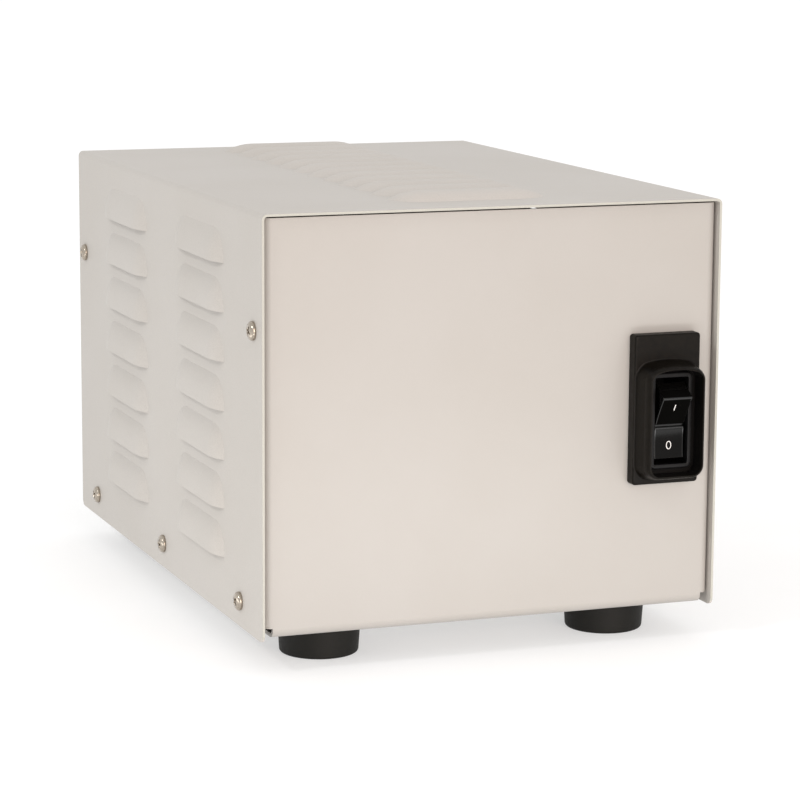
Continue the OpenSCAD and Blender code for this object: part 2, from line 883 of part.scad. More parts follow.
module breaker_body() {
  color([0.09, 0.09, 0.1]) translate([guard_x, 0, switch_z]) difference() {
    union() {
      bezel_ring();
      translate([0, (bezel_back_y + shell_back_y) / 2, 0])
        along_y(shell_back_y - bezel_back_y) round_rect_2d(shell_w, shell_h, shell_corner_r);
      snap_barb();
      mirror([0, 0, 1]) snap_barb();
    }
    translate([-shell_w / 2 + shell_t, bezel_back_y, -shell_h / 2 + shell_t])
      cube([shell_w - 2 * shell_t, well_back_y - bezel_back_y, shell_h - 2 * shell_t]);
    translate([0, pivot_y, 0]) rotate([0, 90, 0])
      cylinder(h = shell_w + 2 * cut_over, r = trunnion_r + trunnion_clear, center = true);
  }
}

// One arm of the rocker's section about its pivot: dished face, round tip, skirt and underside
function rocker_arm(face_l) =
  let (
    along = [-sin(rocker_tilt), cos(rocker_tilt)],
    out = [-cos(rocker_tilt), -sin(rocker_tilt)],
    valley = [-rocker_valley, 0],
    tip = valley + face_l * along,
    tip_c = tip - rocker_tip_r * (along + out),
    from = rocker_groove / 2,
    to = face_l - rocker_tip_r
  )
  concat(
    [[0, 0], [-(rocker_valley - rocker_groove_depth), 0]],
    [
      for (i = [0:rocker_steps])
        let (u = i / rocker_steps, dish = 4 * u * (1 - u) * rocker_dish)
        valley + (from + (to - from) * u) * along - dish * out
    ],
    [
      for (i = [1:rocker_tip_steps])
        let (a = 90 * i / rocker_tip_steps)
        tip_c + rocker_tip_r * (cos(a) * out + sin(a) * along)
    ],
    [tip - rocker_skirt * out, [0, rocker_hub_r]]
  );

module rocker_2d() {
  polygon(rocker_arm(rocker_on_l));
  mirror([0, 1]) polygon(rocker_arm(rocker_off_l));
  circle(rocker_hub_r);
  translate([0, -rocker_finger_w / 2]) square([rocker_finger_l, rocker_finger_w]);
}

module breaker_rocker() {
  color([0.04, 0.04, 0.045]) translate([guard_x, pivot_y, switch_z]) rotate([rocker_tilt, 0, 0]) {
    across_x(rocker_w) rocker_2d();
    rotate([0, 90, 0])
      cylinder(h = shell_w - 2 * shell_t * (1 - trunnion_bite_share), r = trunnion_r, center = true);
  }
}

function blade_z(s) = switch_z + s * shell_h * blade_rise_share;

module breaker_terminals() {
  color([0.75, 0.73, 0.68]) for (s = [-1, 1]) {
    translate([guard_x, shell_back_y, blade_z(s)]) difference() {
      translate([-blade_w / 2, 0, -blade_t / 2]) cube([blade_w, blade_l, blade_t]);
      translate([0, blade_l * blade_hole_share, -blade_t])
        cylinder(h = 2 * blade_t, r = blade_hole_r);
    }
  }
}

// Outlets, each given by its side: -1 is left and 1 is right

module outlet_face_2d(grow) {
  intersection() {
    circle(outlet_face_d / 2 + grow);
    square([2 * outlet_face_d, outlet_face_h + 2 * grow], center = true);
  }
}

// Puts children at the three contact places of each face, after its ground, hot or neutral kind
module at_contacts(side, kind) {
  x = kind == "ground" ? 0 : (kind == "hot" ? -blade_gap / 2 : blade_gap / 2);
  z = kind == "ground" ? -ground_drop : blade_rise;
  for (t = [-1, 1]) {
    translate([side * outlet_gap_x / 2 + x, 0, outlet_z + t * outlet_pitch / 2 + z]) children();
  }
}

module slot_cut(h) {
  translate([-slot_w / 2, pocket_front_y - cut_over, -h / 2])
    cube([slot_w, face_wall + 2 * cut_over, h]);
}

module pocket_cut() {
  translate([-pocket_w / 2, pocket_back_y, -pocket_h / 2]) cube([pocket_w, pocket_depth, pocket_h]);
}

module ground_cut() {
  translate([0, pocket_front_y + face_wall / 2, 0]) along_y(face_wall + 2 * cut_over) intersection() {
    circle(ground_hole_r);
    translate([-ground_hole_r, -ground_hole_r])
      square([2 * ground_hole_r, ground_hole_r + ground_hole_flat]);
  }
}

module outlet_body(side) {
  color([0.16, 0.16, 0.16]) difference() {
    union() {
      translate([side * outlet_gap_x / 2, outlet_back_y + outlet_body_depth / 2, outlet_z])
        along_y(outlet_body_depth) round_rect_2d(outlet_body_w, outlet_body_h, outlet_corner_r);
      for (t = [-1, 1]) {
        translate([side * outlet_gap_x / 2, panel_in_y, outlet_z + t * outlet_pitch / 2])
          along_y(2 * (chassis_t + face_proud)) outlet_face_2d(0);
      }
    }
    at_contacts(side, "hot") slot_cut(hot_slot_h);
    at_contacts(side, "neutral") slot_cut(neutral_slot_h);
    at_contacts(side, "ground") ground_cut();
    for (kind = ["hot", "neutral", "ground"]) at_contacts(side, kind) pocket_cut();
    for (s = [-1, 1], t = [-1, 1]) {
      outlet_side_place(side, s, t) translate([0, 0, -side_screw_l - lie_gap])
        cylinder(h = side_screw_l + lie_gap + cut_over, r = side_screw_r + thread_clear);
    }
  }
}

// On the outer or inner side wall of an outlet, with +Z pointing out of the wall
module outlet_side_place(side, s, t) {
  translate([
    side * outlet_gap_x / 2 + s * outlet_body_w / 2, side_screw_y, outlet_z + t * outlet_pitch / 2
  ]) rotate([0, s * 90, 0]) children();
}

// Two leaves joined at the back of their pocket
module contact_clip(gap) {
  translate([0, pocket_back_y, 0]) {
    translate([-gap / 2 - clip_t, 0, -clip_h / 2]) cube([gap + 2 * clip_t, clip_t, clip_h]);
    for (s = [0, 1]) {
      mirror([s, 0, 0]) translate([gap / 2, 0, -clip_h / 2]) cube([clip_t, clip_l, clip_h]);
    }
  }
}

module outlet_contacts(side) {
  color([0.80, 0.65, 0.35]) {
    for (kind = ["hot", "neutral"]) at_contacts(side, kind) contact_clip(clip_gap);
    at_contacts(side, "ground") contact_clip(ground_clip_gap);
  }
}

// Strap bent round the outlet's back, with a screw tab at each end
module outlet_strap(side) {
  half = outlet_body_h / 2;
  back = outlet_body_depth + strap_t;
  color([0.74, 0.75, 0.76]) difference() {
    translate([side * outlet_gap_x / 2, panel_in_y, outlet_z]) union() {
      across_x(strap_w) {
        translate([-back, -half - strap_t]) square([strap_t, outlet_body_h + 2 * strap_t]);
        for (s = [0, 1]) {
          mirror([0, s]) {
            translate([-back, half]) square([back, strap_t]);
            translate([-strap_t, half]) square([strap_t, strap_h / 2 - half]);
          }
        }
      }
    }
    for (t = [-1, 1]) {
      panel_hole(side * outlet_gap_x / 2, panel_in_y, outlet_z + t * strap_screw_gap / 2,
        strap_screw_r + pass_clear);
    }
  }
}

module outlet_terminal_screws() {
  color([0.78, 0.66, 0.38]) for (side = [-1, 1], s = [-1, 1], t = [-1, 1]) {
    outlet_side_place(side, s, t) pan_screw(side_screw_r, side_screw_l, side_head_r, side_head_h);
  }
}

module at_strap_screws() {
  for (side = [-1, 1], t = [-1, 1]) {
    translate([side * outlet_gap_x / 2, 0, outlet_z + t * strap_screw_gap / 2]) children();
  }
}

module outlet_mount_screws() {
  length = chassis_t + strap_t + strap_nut_h + strap_screw_over;
  color([0.78, 0.79, 0.8]) at_strap_screws() translate([0, panel_y, 0]) rotate([-90, 0, 0])
    pan_screw(strap_screw_r, length, strap_head_r, strap_head_h);
}

module outlet_mount_nuts() {
  color([0.72, 0.73, 0.74]) at_strap_screws() translate([0, panel_in_y - strap_t, 0])
    rotate([90, 0, 0]) hex_nut(strap_nut_af, strap_nut_h, strap_screw_r + thread_clear);
}

// Cord gland, on its axis with +Z pointing out of the rear panel

module at_gland() {
  translate([gland_x, panel_y, gland_z]) rotate([-90, 0, 0]) children();
}

module gland_body() {
  tail = chassis_t + gland_nut_t + gland_tail;
  color([0.12, 0.12, 0.12]) at_gland() difference() {
    union() {
      cylinder(h = gland_flange_t, r = gland_flange_af / 2 / cos(30), $fn = 6);
      translate([0, 0, -tail])
        cylinder(h = tail + gland_flange_t + gland_neck_l, r = gland_thread_r);
    }
    translate([0, 0, -tail - cut_over])
      cylinder(h = tail + gland_seal_seat + 2 * cut_over, r = gland_through_r);
    translate([0, 0, gland_seal_seat])
      cylinder(h = gland_neck_l + gland_flange_t, r = gland_seal_r + lie_gap);
  }
}

module gland_locknut() {
  color([0.12, 0.12, 0.12]) at_gland() translate([0, 0, -chassis_t - gland_nut_t])
    hex_nut(gland_nut_af, gland_nut_t, gland_thread_r + gland_thread_clear);
}

module gland_seal() {
  color([0.2, 0.2, 0.2]) at_gland() translate([0, 0, gland_seal_seat]) difference() {
    cylinder(h = gland_seal_l, r = gland_seal_r);
    translate([0, 0, -cut_over]) cylinder(h = gland_seal_l + 2 * cut_over, r = gland_bore_r);
  }
}

module gland_dome_nut() {
  dome_r = gland_dome_af / 2;
  edge = arc([dome_r - gland_edge_r, gland_dome_l - gland_edge_r], gland_edge_r, 0, 90, 5);
  outline = concat([[0, 0], [dome_r, 0]], edge, [[0, gland_dome_l]]);
  color([0.12, 0.12, 0.12]) at_gland() translate([0, 0, gland_flange_t]) difference() {
    union() {
      rotate_extrude() polygon(outline);
      cylinder(h = gland_dome_hex_l, r = gland_dome_af / 2 / cos(30), $fn = 6);
    }
    translate([0, 0, -cut_over])
      cylinder(h = gland_seal_end - gland_flange_t + cut_over, r = gland_thread_r + gland_thread_clear);
    cylinder(h = gland_dome_l + cut_over, r = gland_mouth_r);
  }
}

// Core

module core_bolt_holes() {
  for (sy = [-1, 1], z = [core_low_z, core_high_z]) {
    translate([0, core_shift_y + sy * core_bolt_y, z]) rotate([0, 90, 0])
      cylinder(h = stack_t + 2 * clamp_t + 2 * cut_over, r = core_bolt_r + pass_clear, center = true);
  }
}

module core_e_stack() {
  low = leg_w;
  high = leg_w + window_h;
  side = core_w / 2;
  tongue = tongue_w / 2;
  wall = side - leg_w;
  color([0.35, 0.36, 0.38]) difference() {
    translate([0, core_shift_y, floor_z]) across_x(stack_t) polygon([
      [-side, 0], [side, 0], [side, high], [wall, high], [wall, low], [tongue, low],
      [tongue, high], [-tongue, high], [-tongue, low], [-wall, low], [-wall, high], [-side, high]
    ]);
    core_bolt_holes();
  }
}

module core_i_stack() {
  color([0.35, 0.36, 0.38]) difference() {
    translate([0, core_shift_y, core_top_z - leg_w]) across_x(stack_t)
      translate([-core_w / 2, 0]) square([core_w, leg_w]);
    core_bolt_holes();
  }
}

module coil_2d(inset, t) {
  out = 2 * (inset + t);
  difference() {
    round_rect_2d(stack_t + out, tongue_w + out, coil_corner_r + inset + t);
    round_rect_2d(stack_t + 2 * inset, tongue_w + 2 * inset, coil_corner_r + inset);
  }
}

module coil_layer(inset, t) {
  translate([0, core_shift_y, coil_low_z + bobbin_t + lie_gap])
    linear_extrude(coil_h - 2 * bobbin_t - 2 * lie_gap) coil_2d(inset, t);
}

module coil_bobbin() {
  color([0.85, 0.82, 0.7]) translate([0, core_shift_y, coil_low_z]) {
    linear_extrude(coil_h) coil_2d(bobbin_clear, bobbin_t);
    for (z = [0, coil_h - bobbin_t]) {
      translate([0, 0, z]) linear_extrude(bobbin_t) coil_2d(bobbin_clear, coil_build - bobbin_clear);
    }
  }
}

module primary_winding() {
  color([0.72, 0.42, 0.22]) coil_layer(primary_in, primary_t);
}

module shield_foil() {
  color([0.85, 0.55, 0.35]) coil_layer(foil_in, foil_t);
}

module secondary_winding() {
  color([0.72, 0.42, 0.22]) coil_layer(secondary_in, secondary_t);
}

module winding_wrap() {
  color([0.9, 0.8, 0.45]) coil_layer(wrap_in, wrap_t);
}

module mount_bolt_holes() {
  for (sx = [-1, 1], sy = [-1, 1]) {
    translate([sx * mount_x, core_shift_y + sy * mount_y, floor_z - cut_over])
      cylinder(h = clamp_t + 2 * cut_over, r = mount_bolt_r + pass_clear);
  }
}

module core_angle(side) {
  color([0.6, 0.61, 0.62]) difference() {
    translate([side * stack_t / 2, core_shift_y, floor_z]) mirror([side < 0 ? 1 : 0, 0, 0])
      along_y(core_w) angle_2d(angle_foot, angle_rise, clamp_t, angle_bend_r);
    core_bolt_holes();
    mount_bolt_holes();
  }
}

module core_bar(side) {
  color([0.6, 0.61, 0.62]) difference() {
    translate([side * (stack_t + clamp_t) / 2, core_shift_y, core_high_z])
      cube([clamp_t, core_w, bar_w], center = true);
    core_bolt_holes();
  }
}

module at_core_bolts() {
  for (sy = [-1, 1], z = [core_low_z, core_high_z]) {
    translate([0, core_shift_y + sy * core_bolt_y, z]) children();
  }
}

module core_bolts() {
  length = stack_t + 2 * clamp_t + core_nut_h + core_bolt_over;
  color([0.72, 0.73, 0.74]) at_core_bolts() translate([-stack_t / 2 - clamp_t, 0, 0])
    rotate([0, -90, 0]) hex_bolt(core_bolt_r, length, core_head_af, core_head_h);
}

module core_nuts() {
  color([0.72, 0.73, 0.74]) at_core_bolts() translate([stack_t / 2 + clamp_t, 0, 0])
    rotate([0, 90, 0]) hex_nut(core_head_af, core_nut_h, core_bolt_r + thread_clear);
}

module at_mount_bolts() {
  for (sx = [-1, 1], sy = [-1, 1]) {
    translate([sx * mount_x, core_shift_y + sy * mount_y, 0]) children();
  }
}

module mount_bolts() {
  length = chassis_t + clamp_t + mount_nut_h + mount_bolt_over;
  color([0.72, 0.73, 0.74]) at_mount_bolts() translate([0, 0, floor_lift]) mirror([0, 0, 1])
    pan_screw(mount_bolt_r, length, mount_head_r, mount_head_h);
}

module mount_nuts() {
  color([0.72, 0.73, 0.74]) at_mount_bolts() translate([0, 0, floor_z + clamp_t])
    hex_nut(mount_nut_af, mount_nut_h, mount_bolt_r + thread_clear);
}

// Terminal block

function block_screw_x(s) = block_x + s * (block_l - block_ear) / 2;

function way_x(i) = block_x + (i - (block_ways - 1) / 2) * way_pitch;

module way_screw_places() {
  for (i = [0:block_ways - 1], s = [-1, 1]) {
    translate([way_x(i), block_y + s * way_row_y, floor_z + block_base_h]) children();
  }
}

module terminal_block() {
  inner_l = block_l - 2 * block_ear;
  color([0.13, 0.13, 0.14]) difference() {
    translate([block_x, block_y, floor_z]) union() {
      translate([-inner_l / 2, -block_w / 2, 0]) cube([inner_l, block_w, block_base_h]);
      translate([-block_l / 2, -block_w / 4, 0]) cube([block_l, block_w / 2, block_ear_h]);
      for (i = [0:block_ways]) {
        translate([(i / block_ways - 1 / 2) * (inner_l - block_rib_t) - block_rib_t / 2, -block_w / 2, 0])
          cube([block_rib_t, block_w, block_rib_h]);
      }
    }
    way_screw_places() translate([0, 0, -way_screw_depth - lie_gap])
      cylinder(h = way_screw_depth + lie_gap + cut_over, r = way_screw_r + thread_clear);
    for (s = [-1, 1]) {
      translate([block_screw_x(s), block_y, floor_z - cut_over])
        cylinder(h = block_ear_h + 2 * cut_over, r = block_screw_r + pass_clear);
    }
  }
}

module terminal_screws() {
  color([0.78, 0.66, 0.38]) way_screw_places()
    pan_screw(way_screw_r, way_screw_depth, way_head_r, way_head_h);
}

module block_screws() {
  length = block_ear_h + chassis_t;
  color([0.72, 0.73, 0.74]) for (s = [-1, 1]) {
    translate([block_screw_x(s), block_y, floor_z + block_ear_h])
      pan_screw(block_screw_r, length, block_head_r, block_head_h);
  }
}

// Surge board

function board_hole_x(s) = board_x + s * (board_w / 2 - board_inset);

function board_hole_y(s) = board_y + s * (board_l / 2 - board_inset);

module at_board_holes() {
  for (sx = [-1, 1], sy = [-1, 1]) {
    translate([board_hole_x(sx), board_hole_y(sy), 0]) children();
  }
}

module surge_board() {
  color([0.1, 0.35, 0.2]) difference() {
    translate([board_x - board_w / 2, board_y - board_l / 2, board_low_z])
      cube([board_w, board_l, board_t]);
    at_board_holes() translate([0, 0, board_low_z - cut_over])
      cylinder(h = board_t + 2 * cut_over, r = board_screw_r + pass_clear);
  }
}

module board_standoffs() {
  color([0.80, 0.65, 0.35]) at_board_holes() translate([0, 0, floor_z])
    hex_nut(standoff_af, board_lift, board_screw_r + thread_clear);
}

module board_screws() {
  color([0.72, 0.73, 0.74]) at_board_holes() {
    translate([0, 0, board_top_z])
      pan_screw(board_screw_r, board_t + board_bite, board_head_r, board_head_h);
    translate([0, 0, floor_lift]) mirror([0, 0, 1])
      pan_screw(board_screw_r, chassis_t + board_bite, board_head_r, board_head_h);
  }
}

module surge_varistors() {
  color([0.15, 0.3, 0.6]) for (i = [-1:1]) {
    x = board_x + i * board_w * varistor_pitch_share;
    translate([x, board_y + varistor_row_y, board_top_z]) {
      for (s = [-1, 1]) {
        translate([s * varistor_r * varistor_leg_share, 0, 0])
          cylinder(h = varistor_leg_l + varistor_r, r = varistor_leg_r);
      }
      translate([0, 0, varistor_leg_l + varistor_r]) rotate([90, 0, 0])
        cylinder(h = varistor_t, r = varistor_r, center = true);
    }
  }
}

module filter_capacitor() {
  color([0.75, 0.6, 0.2]) translate([board_x, board_y - capacitor_row_y, board_top_z])
    linear_extrude(capacitor_h) round_rect_2d(capacitor_w, capacitor_l, capacitor_r);
}

// Ground stud

module ground_stud() {
  color([0.80, 0.65, 0.35]) translate([stud_x, stud_y, floor_z]) cylinder(h = stud_l, r = stud_r);
}

module ground_nut() {
  color([0.80, 0.65, 0.35]) translate([stud_x, stud_y, floor_z])
    hex_nut(stud_nut_af, stud_nut_h, stud_r + thread_clear);
}

// Leads

function unit(v) = v / norm(v);

// Route with each corner rounded over the bend length
function soft_route(p, bend, steps) = [
  for (i = [0:len(p) - 1])
    each (i == 0 || i == len(p) - 1) ? [p[i]] : [
      for (k = [0:steps])
        let (
          t = k / steps,
          from = p[i] + bend * unit(p[i - 1] - p[i]),
          to = p[i] + bend * unit(p[i + 1] - p[i])
        )
        (1 - t) * (1 - t) * from + 2 * t * (1 - t) * p[i] + t * t * to
    ]
];

function heading(p, i) = unit(p[min(i + 1, len(p) - 1)] - p[max(i - 1, 0)]);

function any_side(t) = unit(cross(t, abs(t[2]) < 0.9 ? [0, 0, 1] : [1, 0, 0]));

// Round tube along a route, its rings carried on without twist
module lead(route) {
  p = soft_route(route, lead_bend, lead_steps);
  n = len(p);
  sides = [
    for (i = 0, a = any_side(heading(p, 0)); i < n; i = i + 1,
      a = i < n ? unit(a - (a * heading(p, i)) * heading(p, i)) : a) a
  ];
  points = [
    for (i = [0:n - 1], j = [0:lead_sides - 1])
      let (t = heading(p, i), a = sides[i], b = cross(t, a), turn = 360 * j / lead_sides)
      p[i] + lead_r * (cos(turn) * a + sin(turn) * b)
  ];
  walls = [
    for (i = [0:n - 2], j = [0:lead_sides - 1])
      let (k = i * lead_sides, j2 = (j + 1) % lead_sides)
      each [
        [k + j, k + lead_sides + j2, k + j2],
        [k + j, k + lead_sides + j, k + lead_sides + j2]
      ]
  ];
  caps = [
    [for (j = [0:lead_sides - 1]) j],
    [for (j = [lead_sides - 1:-1:0]) (n - 1) * lead_sides + j]
  ];
  polyhedron(points = points, faces = concat(walls, caps));
}

way_top_z = floor_z + block_base_h;
way_rear_y = block_y + way_lead_y;
lead_over_z = core_top_z + lead_rise;
coil_lead_x = stack_t / 2 + coil_build * lead_side_share;

// From the breaker's upper blade to the block's last way
module line_lead() {
  blade_end_y = shell_back_y + blade_l;
  x = way_x(block_ways - 1);
  run_y = blade_end_y + line_run_y;
  color([0.1, 0.1, 0.1]) lead([
    [guard_x, blade_end_y, blade_z(1)], [guard_x, run_y, blade_z(1)],
    [guard_x, run_y, line_run_z], [x, run_y, line_run_z],
    [x, way_rear_y, line_run_z], [x, way_rear_y, way_top_z]
  ]);
}

// From the block over the core to the flange of the coil, right side
module primary_leads() {
  color([0.85, 0.85, 0.82]) for (s = [-1, 1]) {
    x = way_x(s < 0 ? 1 : 2);
    y = core_shift_y + s * coil_lead_y;
    z = lead_over_z + (s + 1) / 2 * lead_rise;
    lead([
      [x, way_rear_y, way_top_z], [x, way_rear_y, z], [x, y, z], [coil_lead_x, y, z],
      [coil_lead_x, y, coil_top_z]
    ]);
  }
}

// From the coil's flange, left side, to the outer side of the left outlet
module secondary_leads() {
  wall_x = -(outlet_gap_x + outlet_body_w) / 2;
  color([0.15, 0.15, 0.16]) for (s = [-1, 1]) {
    y = core_shift_y + s * coil_lead_y;
    z = outlet_z + s * outlet_lead_z;
    run_z = lead_over_z + (1 - s) / 2 * lead_rise;
    out_x = wall_x - outlet_lead_out - (1 - s) / 2 * lead_rise;
    lead([
      [-coil_lead_x, y, coil_top_z], [-coil_lead_x, y, run_z], [out_x, y, run_z],
      [out_x, side_screw_y, run_z], [out_x, side_screw_y, z], [wall_x, side_screw_y, z]
    ]);
  }
}

// From the ground stud to the right outlet's strap
module ground_lead() {
  strap_y = outlet_back_y - strap_t;
  x = outlet_gap_x / 2;
  z = outlet_z - outlet_lead_z;
  color([0.2, 0.5, 0.2])
    lead([[stud_x, stud_y, stud_top_z], [stud_x, stud_y, z], [x, stud_y, z], [x, strap_y, z]]);
}

place() chassis_tray();
place() wrap_cover();
place() cover_screws();
place() foot(0);  // foot_front_left
place() foot(1);  // foot_front_right
place() foot(2);  // foot_rear_left
place() foot(3);  // foot_rear_right
place() foot_screws();
place() foot_nuts();
place() switch_guard();
place() guard_screws();
place() breaker_body();
place() breaker_rocker();
place() breaker_terminals();
place() outlet_body(-1);  // outlet_body_left
place() outlet_body(1);  // outlet_body_right
place() outlet_strap(-1);  // outlet_strap_left
place() outlet_strap(1);  // outlet_strap_right
place() outlet_contacts(-1);  // outlet_contacts_left
place() outlet_contacts(1);  // outlet_contacts_right
place() outlet_terminal_screws();
place() outlet_mount_screws();
place() outlet_mount_nuts();
place() gland_body();
place() gland_locknut();
place() gland_seal();
place() gland_dome_nut();
place() core_e_stack();
place() core_i_stack();
place() coil_bobbin();
place() primary_winding();
place() shield_foil();
place() secondary_winding();
place() winding_wrap();
place() core_angle(-1);  // core_angle_left
place() core_angle(1);  // core_angle_right
place() core_bar(-1);  // core_bar_left
place() core_bar(1);  // core_bar_right
place() core_bolts();
place() core_nuts();
place() mount_bolts();
place() mount_nuts();
place() terminal_block();
place() terminal_screws();
place() block_screws();
place() surge_board();
place() board_standoffs();
place() board_screws();
place() surge_varistors();
place() filter_capacitor();
place() ground_stud();
place() ground_nut();
place() line_lead();
place() primary_leads();
place() secondary_leads();
place() ground_lead();
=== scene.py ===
"""Finishes, moulded pieces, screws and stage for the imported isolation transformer.

The frame gives every CAD node in metres. X is to the right, Y to the rear and Z up from the floor.
"""

import json
import math

import bmesh
import bpy
from bpy.props import FloatProperty, FloatVectorProperty, PointerProperty
from mathutils import Matrix, Quaternion, Vector


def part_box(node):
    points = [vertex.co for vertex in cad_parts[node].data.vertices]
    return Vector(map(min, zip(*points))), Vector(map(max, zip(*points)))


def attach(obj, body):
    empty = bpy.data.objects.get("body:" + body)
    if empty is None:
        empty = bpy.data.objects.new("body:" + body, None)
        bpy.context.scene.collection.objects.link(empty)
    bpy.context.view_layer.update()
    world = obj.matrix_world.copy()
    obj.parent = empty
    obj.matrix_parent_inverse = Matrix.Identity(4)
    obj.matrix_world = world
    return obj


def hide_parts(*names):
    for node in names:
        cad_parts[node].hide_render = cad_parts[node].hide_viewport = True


bl_info = {
    "name": "Isolation Transformer",
    "version": (1, 0, 0),
    "blender": (4, 5, 0),
    "location": "3D View > Sidebar > Transformer",
    "description": "Dresses a louvred isolation transformer with paint, moulded parts and screws",
    "category": "Object",
}

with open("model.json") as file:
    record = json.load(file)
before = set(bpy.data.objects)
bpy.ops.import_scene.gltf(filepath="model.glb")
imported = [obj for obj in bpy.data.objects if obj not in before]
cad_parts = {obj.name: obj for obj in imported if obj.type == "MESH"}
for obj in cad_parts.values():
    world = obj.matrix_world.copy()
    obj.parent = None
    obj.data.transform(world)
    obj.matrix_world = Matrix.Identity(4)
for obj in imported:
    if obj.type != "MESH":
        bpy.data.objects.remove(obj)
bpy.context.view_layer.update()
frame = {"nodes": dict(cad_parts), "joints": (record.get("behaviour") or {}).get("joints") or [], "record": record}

MM = 0.001
WHITE = (1.0, 1.0, 1.0, 1.0)

# Points nearer than the first are joined, and rings that differ by less than the second lie in one plane
JOIN_LIMIT = 1e-6
LEVEL_LIMIT = 1e-7

# Places in the frame: the rear panel's face, and the switch's middle at the height of the rocker's pivot
PANEL_REAR_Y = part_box("chassis_tray")[1].y
SWITCH_Z = frame["joints"][0]["pos_m"][2]


# Settings that a user would change


def colour_setting(name, description, default):
    return FloatVectorProperty(
        name=name, description=description, subtype="COLOR", size=3, min=0.0, max=1.0, default=default
    )


def length_setting(name, description, default, low, high):
    return FloatProperty(
        name=name, description=description, unit="LENGTH", precision=5, default=default, min=low, max=high
    )


def light_setting(name, description, default, high, subtype="NONE"):
    return FloatProperty(
        name=name, description=description, subtype=subtype, default=default, min=0.0, max=high
    )


class TransformerColours(bpy.types.PropertyGroup):
    """Colours of the finishes that show"""

    cover: colour_setting("Cover", "Powder coat of the louvred cover", (0.470, 0.442, 0.409))
    # Set darker than the cover's colour, as painted shade that offsets the key light in front; it leaves the rear
    # panel looking shaded
    panel: colour_setting("Panels", "Powder coat of the front and rear panels", (0.358, 0.346, 0.325))
    guard: colour_setting("Guard", "Moulded guard round the switch", (0.0038, 0.0028, 0.0016))
    rocker: colour_setting("Rocker", "Glossy rocker of the breaker", (0.0028, 0.0028, 0.0026))
    marks: colour_setting("Marks", "Printed on and off marks", (0.80, 0.80, 0.78))
    rubber: colour_setting("Feet", "Rubber of the four feet", (0.0055, 0.0052, 0.0040))
    outlets: colour_setting("Outlets", "Moulded bodies of the rear outlets", (0.020, 0.020, 0.021))


class TransformerSizes(bpy.types.PropertyGroup):
    """Sizes of the small detail"""

    peel: length_setting("Paint grain", "Width of a bump of the powder coat", 0.0011, 0.0003, 0.003)
    peel_depth: length_setting("Paint depth", "Height of a bump of the powder coat", 0.00003, 0.0, 0.0002)
    plastic_edge: length_setting("Plastic edges", "Rounding of the moulded edges", 0.0004, 0.0001, 0.001)
    mark_height: length_setting("Mark height", "Height of the on and off marks", 0.0031, 0.001, 0.005)


class TransformerStage(bpy.types.PropertyGroup):
    """Light and floor of the studio"""

    sky: light_setting("Sky", "Strength of the white surround", 0.98, 3.0)
    key: light_setting("Key light", "Large soft light in front", 32.0, 60.0, "POWER")
    side: light_setting("Side light", "Soft light from the upper left", 6.7, 60.0, "POWER")
    bounce: light_setting("Floor bounce", "Low strips near the floor", 0.18, 20.0, "POWER")
    table: light_setting("Lit table", "Glow of the white table under the case", 0.49, 2.0)
    warmth: colour_setting("Key colour", "Colour of the large soft light", (1.0, 0.81, 0.72))
    floor: colour_setting("Floor", "Pale floor", (0.50, 0.50, 0.50))


# Shader groups that several finishes share


def new_group(name, inputs, outputs):
    """An empty shader node group with its sockets and its two end nodes."""
    group = bpy.data.node_groups.new(name, "ShaderNodeTree")
    for label, kind, default in inputs:
        socket = group.interface.new_socket(label, in_out="INPUT", socket_type=kind)
        if default is not None:
            socket.default_value = default
    for label in outputs:
        group.interface.new_socket(label, in_out="OUTPUT", socket_type="NodeSocketFloat")
    return group, group.nodes.new("NodeGroupInput"), group.nodes.new("NodeGroupOutput")


def math_node(tree, operation, first, second):
    """A Math node whose two inputs are sockets or numbers."""
    node = tree.nodes.new("ShaderNodeMath")
    node.operation = operation
    for socket, value in zip(node.inputs, (first, second)):
        if isinstance(value, bpy.types.NodeSocket):
            tree.links.new(value, socket)
        else:
            socket.default_value = value
    return node.outputs[0]


def noise_node(tree, vector, scale, detail):
    """A noise of a given detail whose scale is a socket."""
    node = tree.nodes.new("ShaderNodeTexNoise")
    node.inputs["Detail"].default_value = detail
    tree.links.new(vector, node.inputs["Vector"])
    tree.links.new(scale, node.inputs["Scale"])
    return node.outputs["Fac"]


def span_node(tree, value, low, high, out_low=0.0, out_high=1.0):
    """Maps a socket from one span to another and clamps it there."""
    node = tree.nodes.new("ShaderNodeMapRange")
    tree.links.new(value, node.inputs["Value"])
    for socket, number in zip(list(node.inputs)[1:5], (low, high, out_low, out_high)):
        socket.default_value = number
    return node.outputs["Result"]


GRAIN_INPUTS = (("Vector", "NodeSocketVector", None), ("Size", "NodeSocketFloat", 0.001))


def powder_coat_group():
    """Soft bumps of baked powder, with a few finer ones between them."""
    group, start, end = new_group("Powder Coat", GRAIN_INPUTS, ("Height", "Fleck"))
    vector, size = start.outputs["Vector"], start.outputs["Size"]
    coarse = noise_node(group, vector, math_node(group, "DIVIDE", 1.0, size), 2.0)
    fine = noise_node(group, vector, math_node(group, "DIVIDE", 2.7, size), 3.0)
    coarse = math_node(group, "MULTIPLY", coarse, 0.7)
    height = math_node(group, "ADD", coarse, math_node(group, "MULTIPLY", fine, 0.3))
    group.links.new(span_node(group, height, 0.32, 0.68), end.inputs["Height"])
    group.links.new(span_node(group, fine, 0.3, 0.7), end.inputs["Fleck"])
    return group


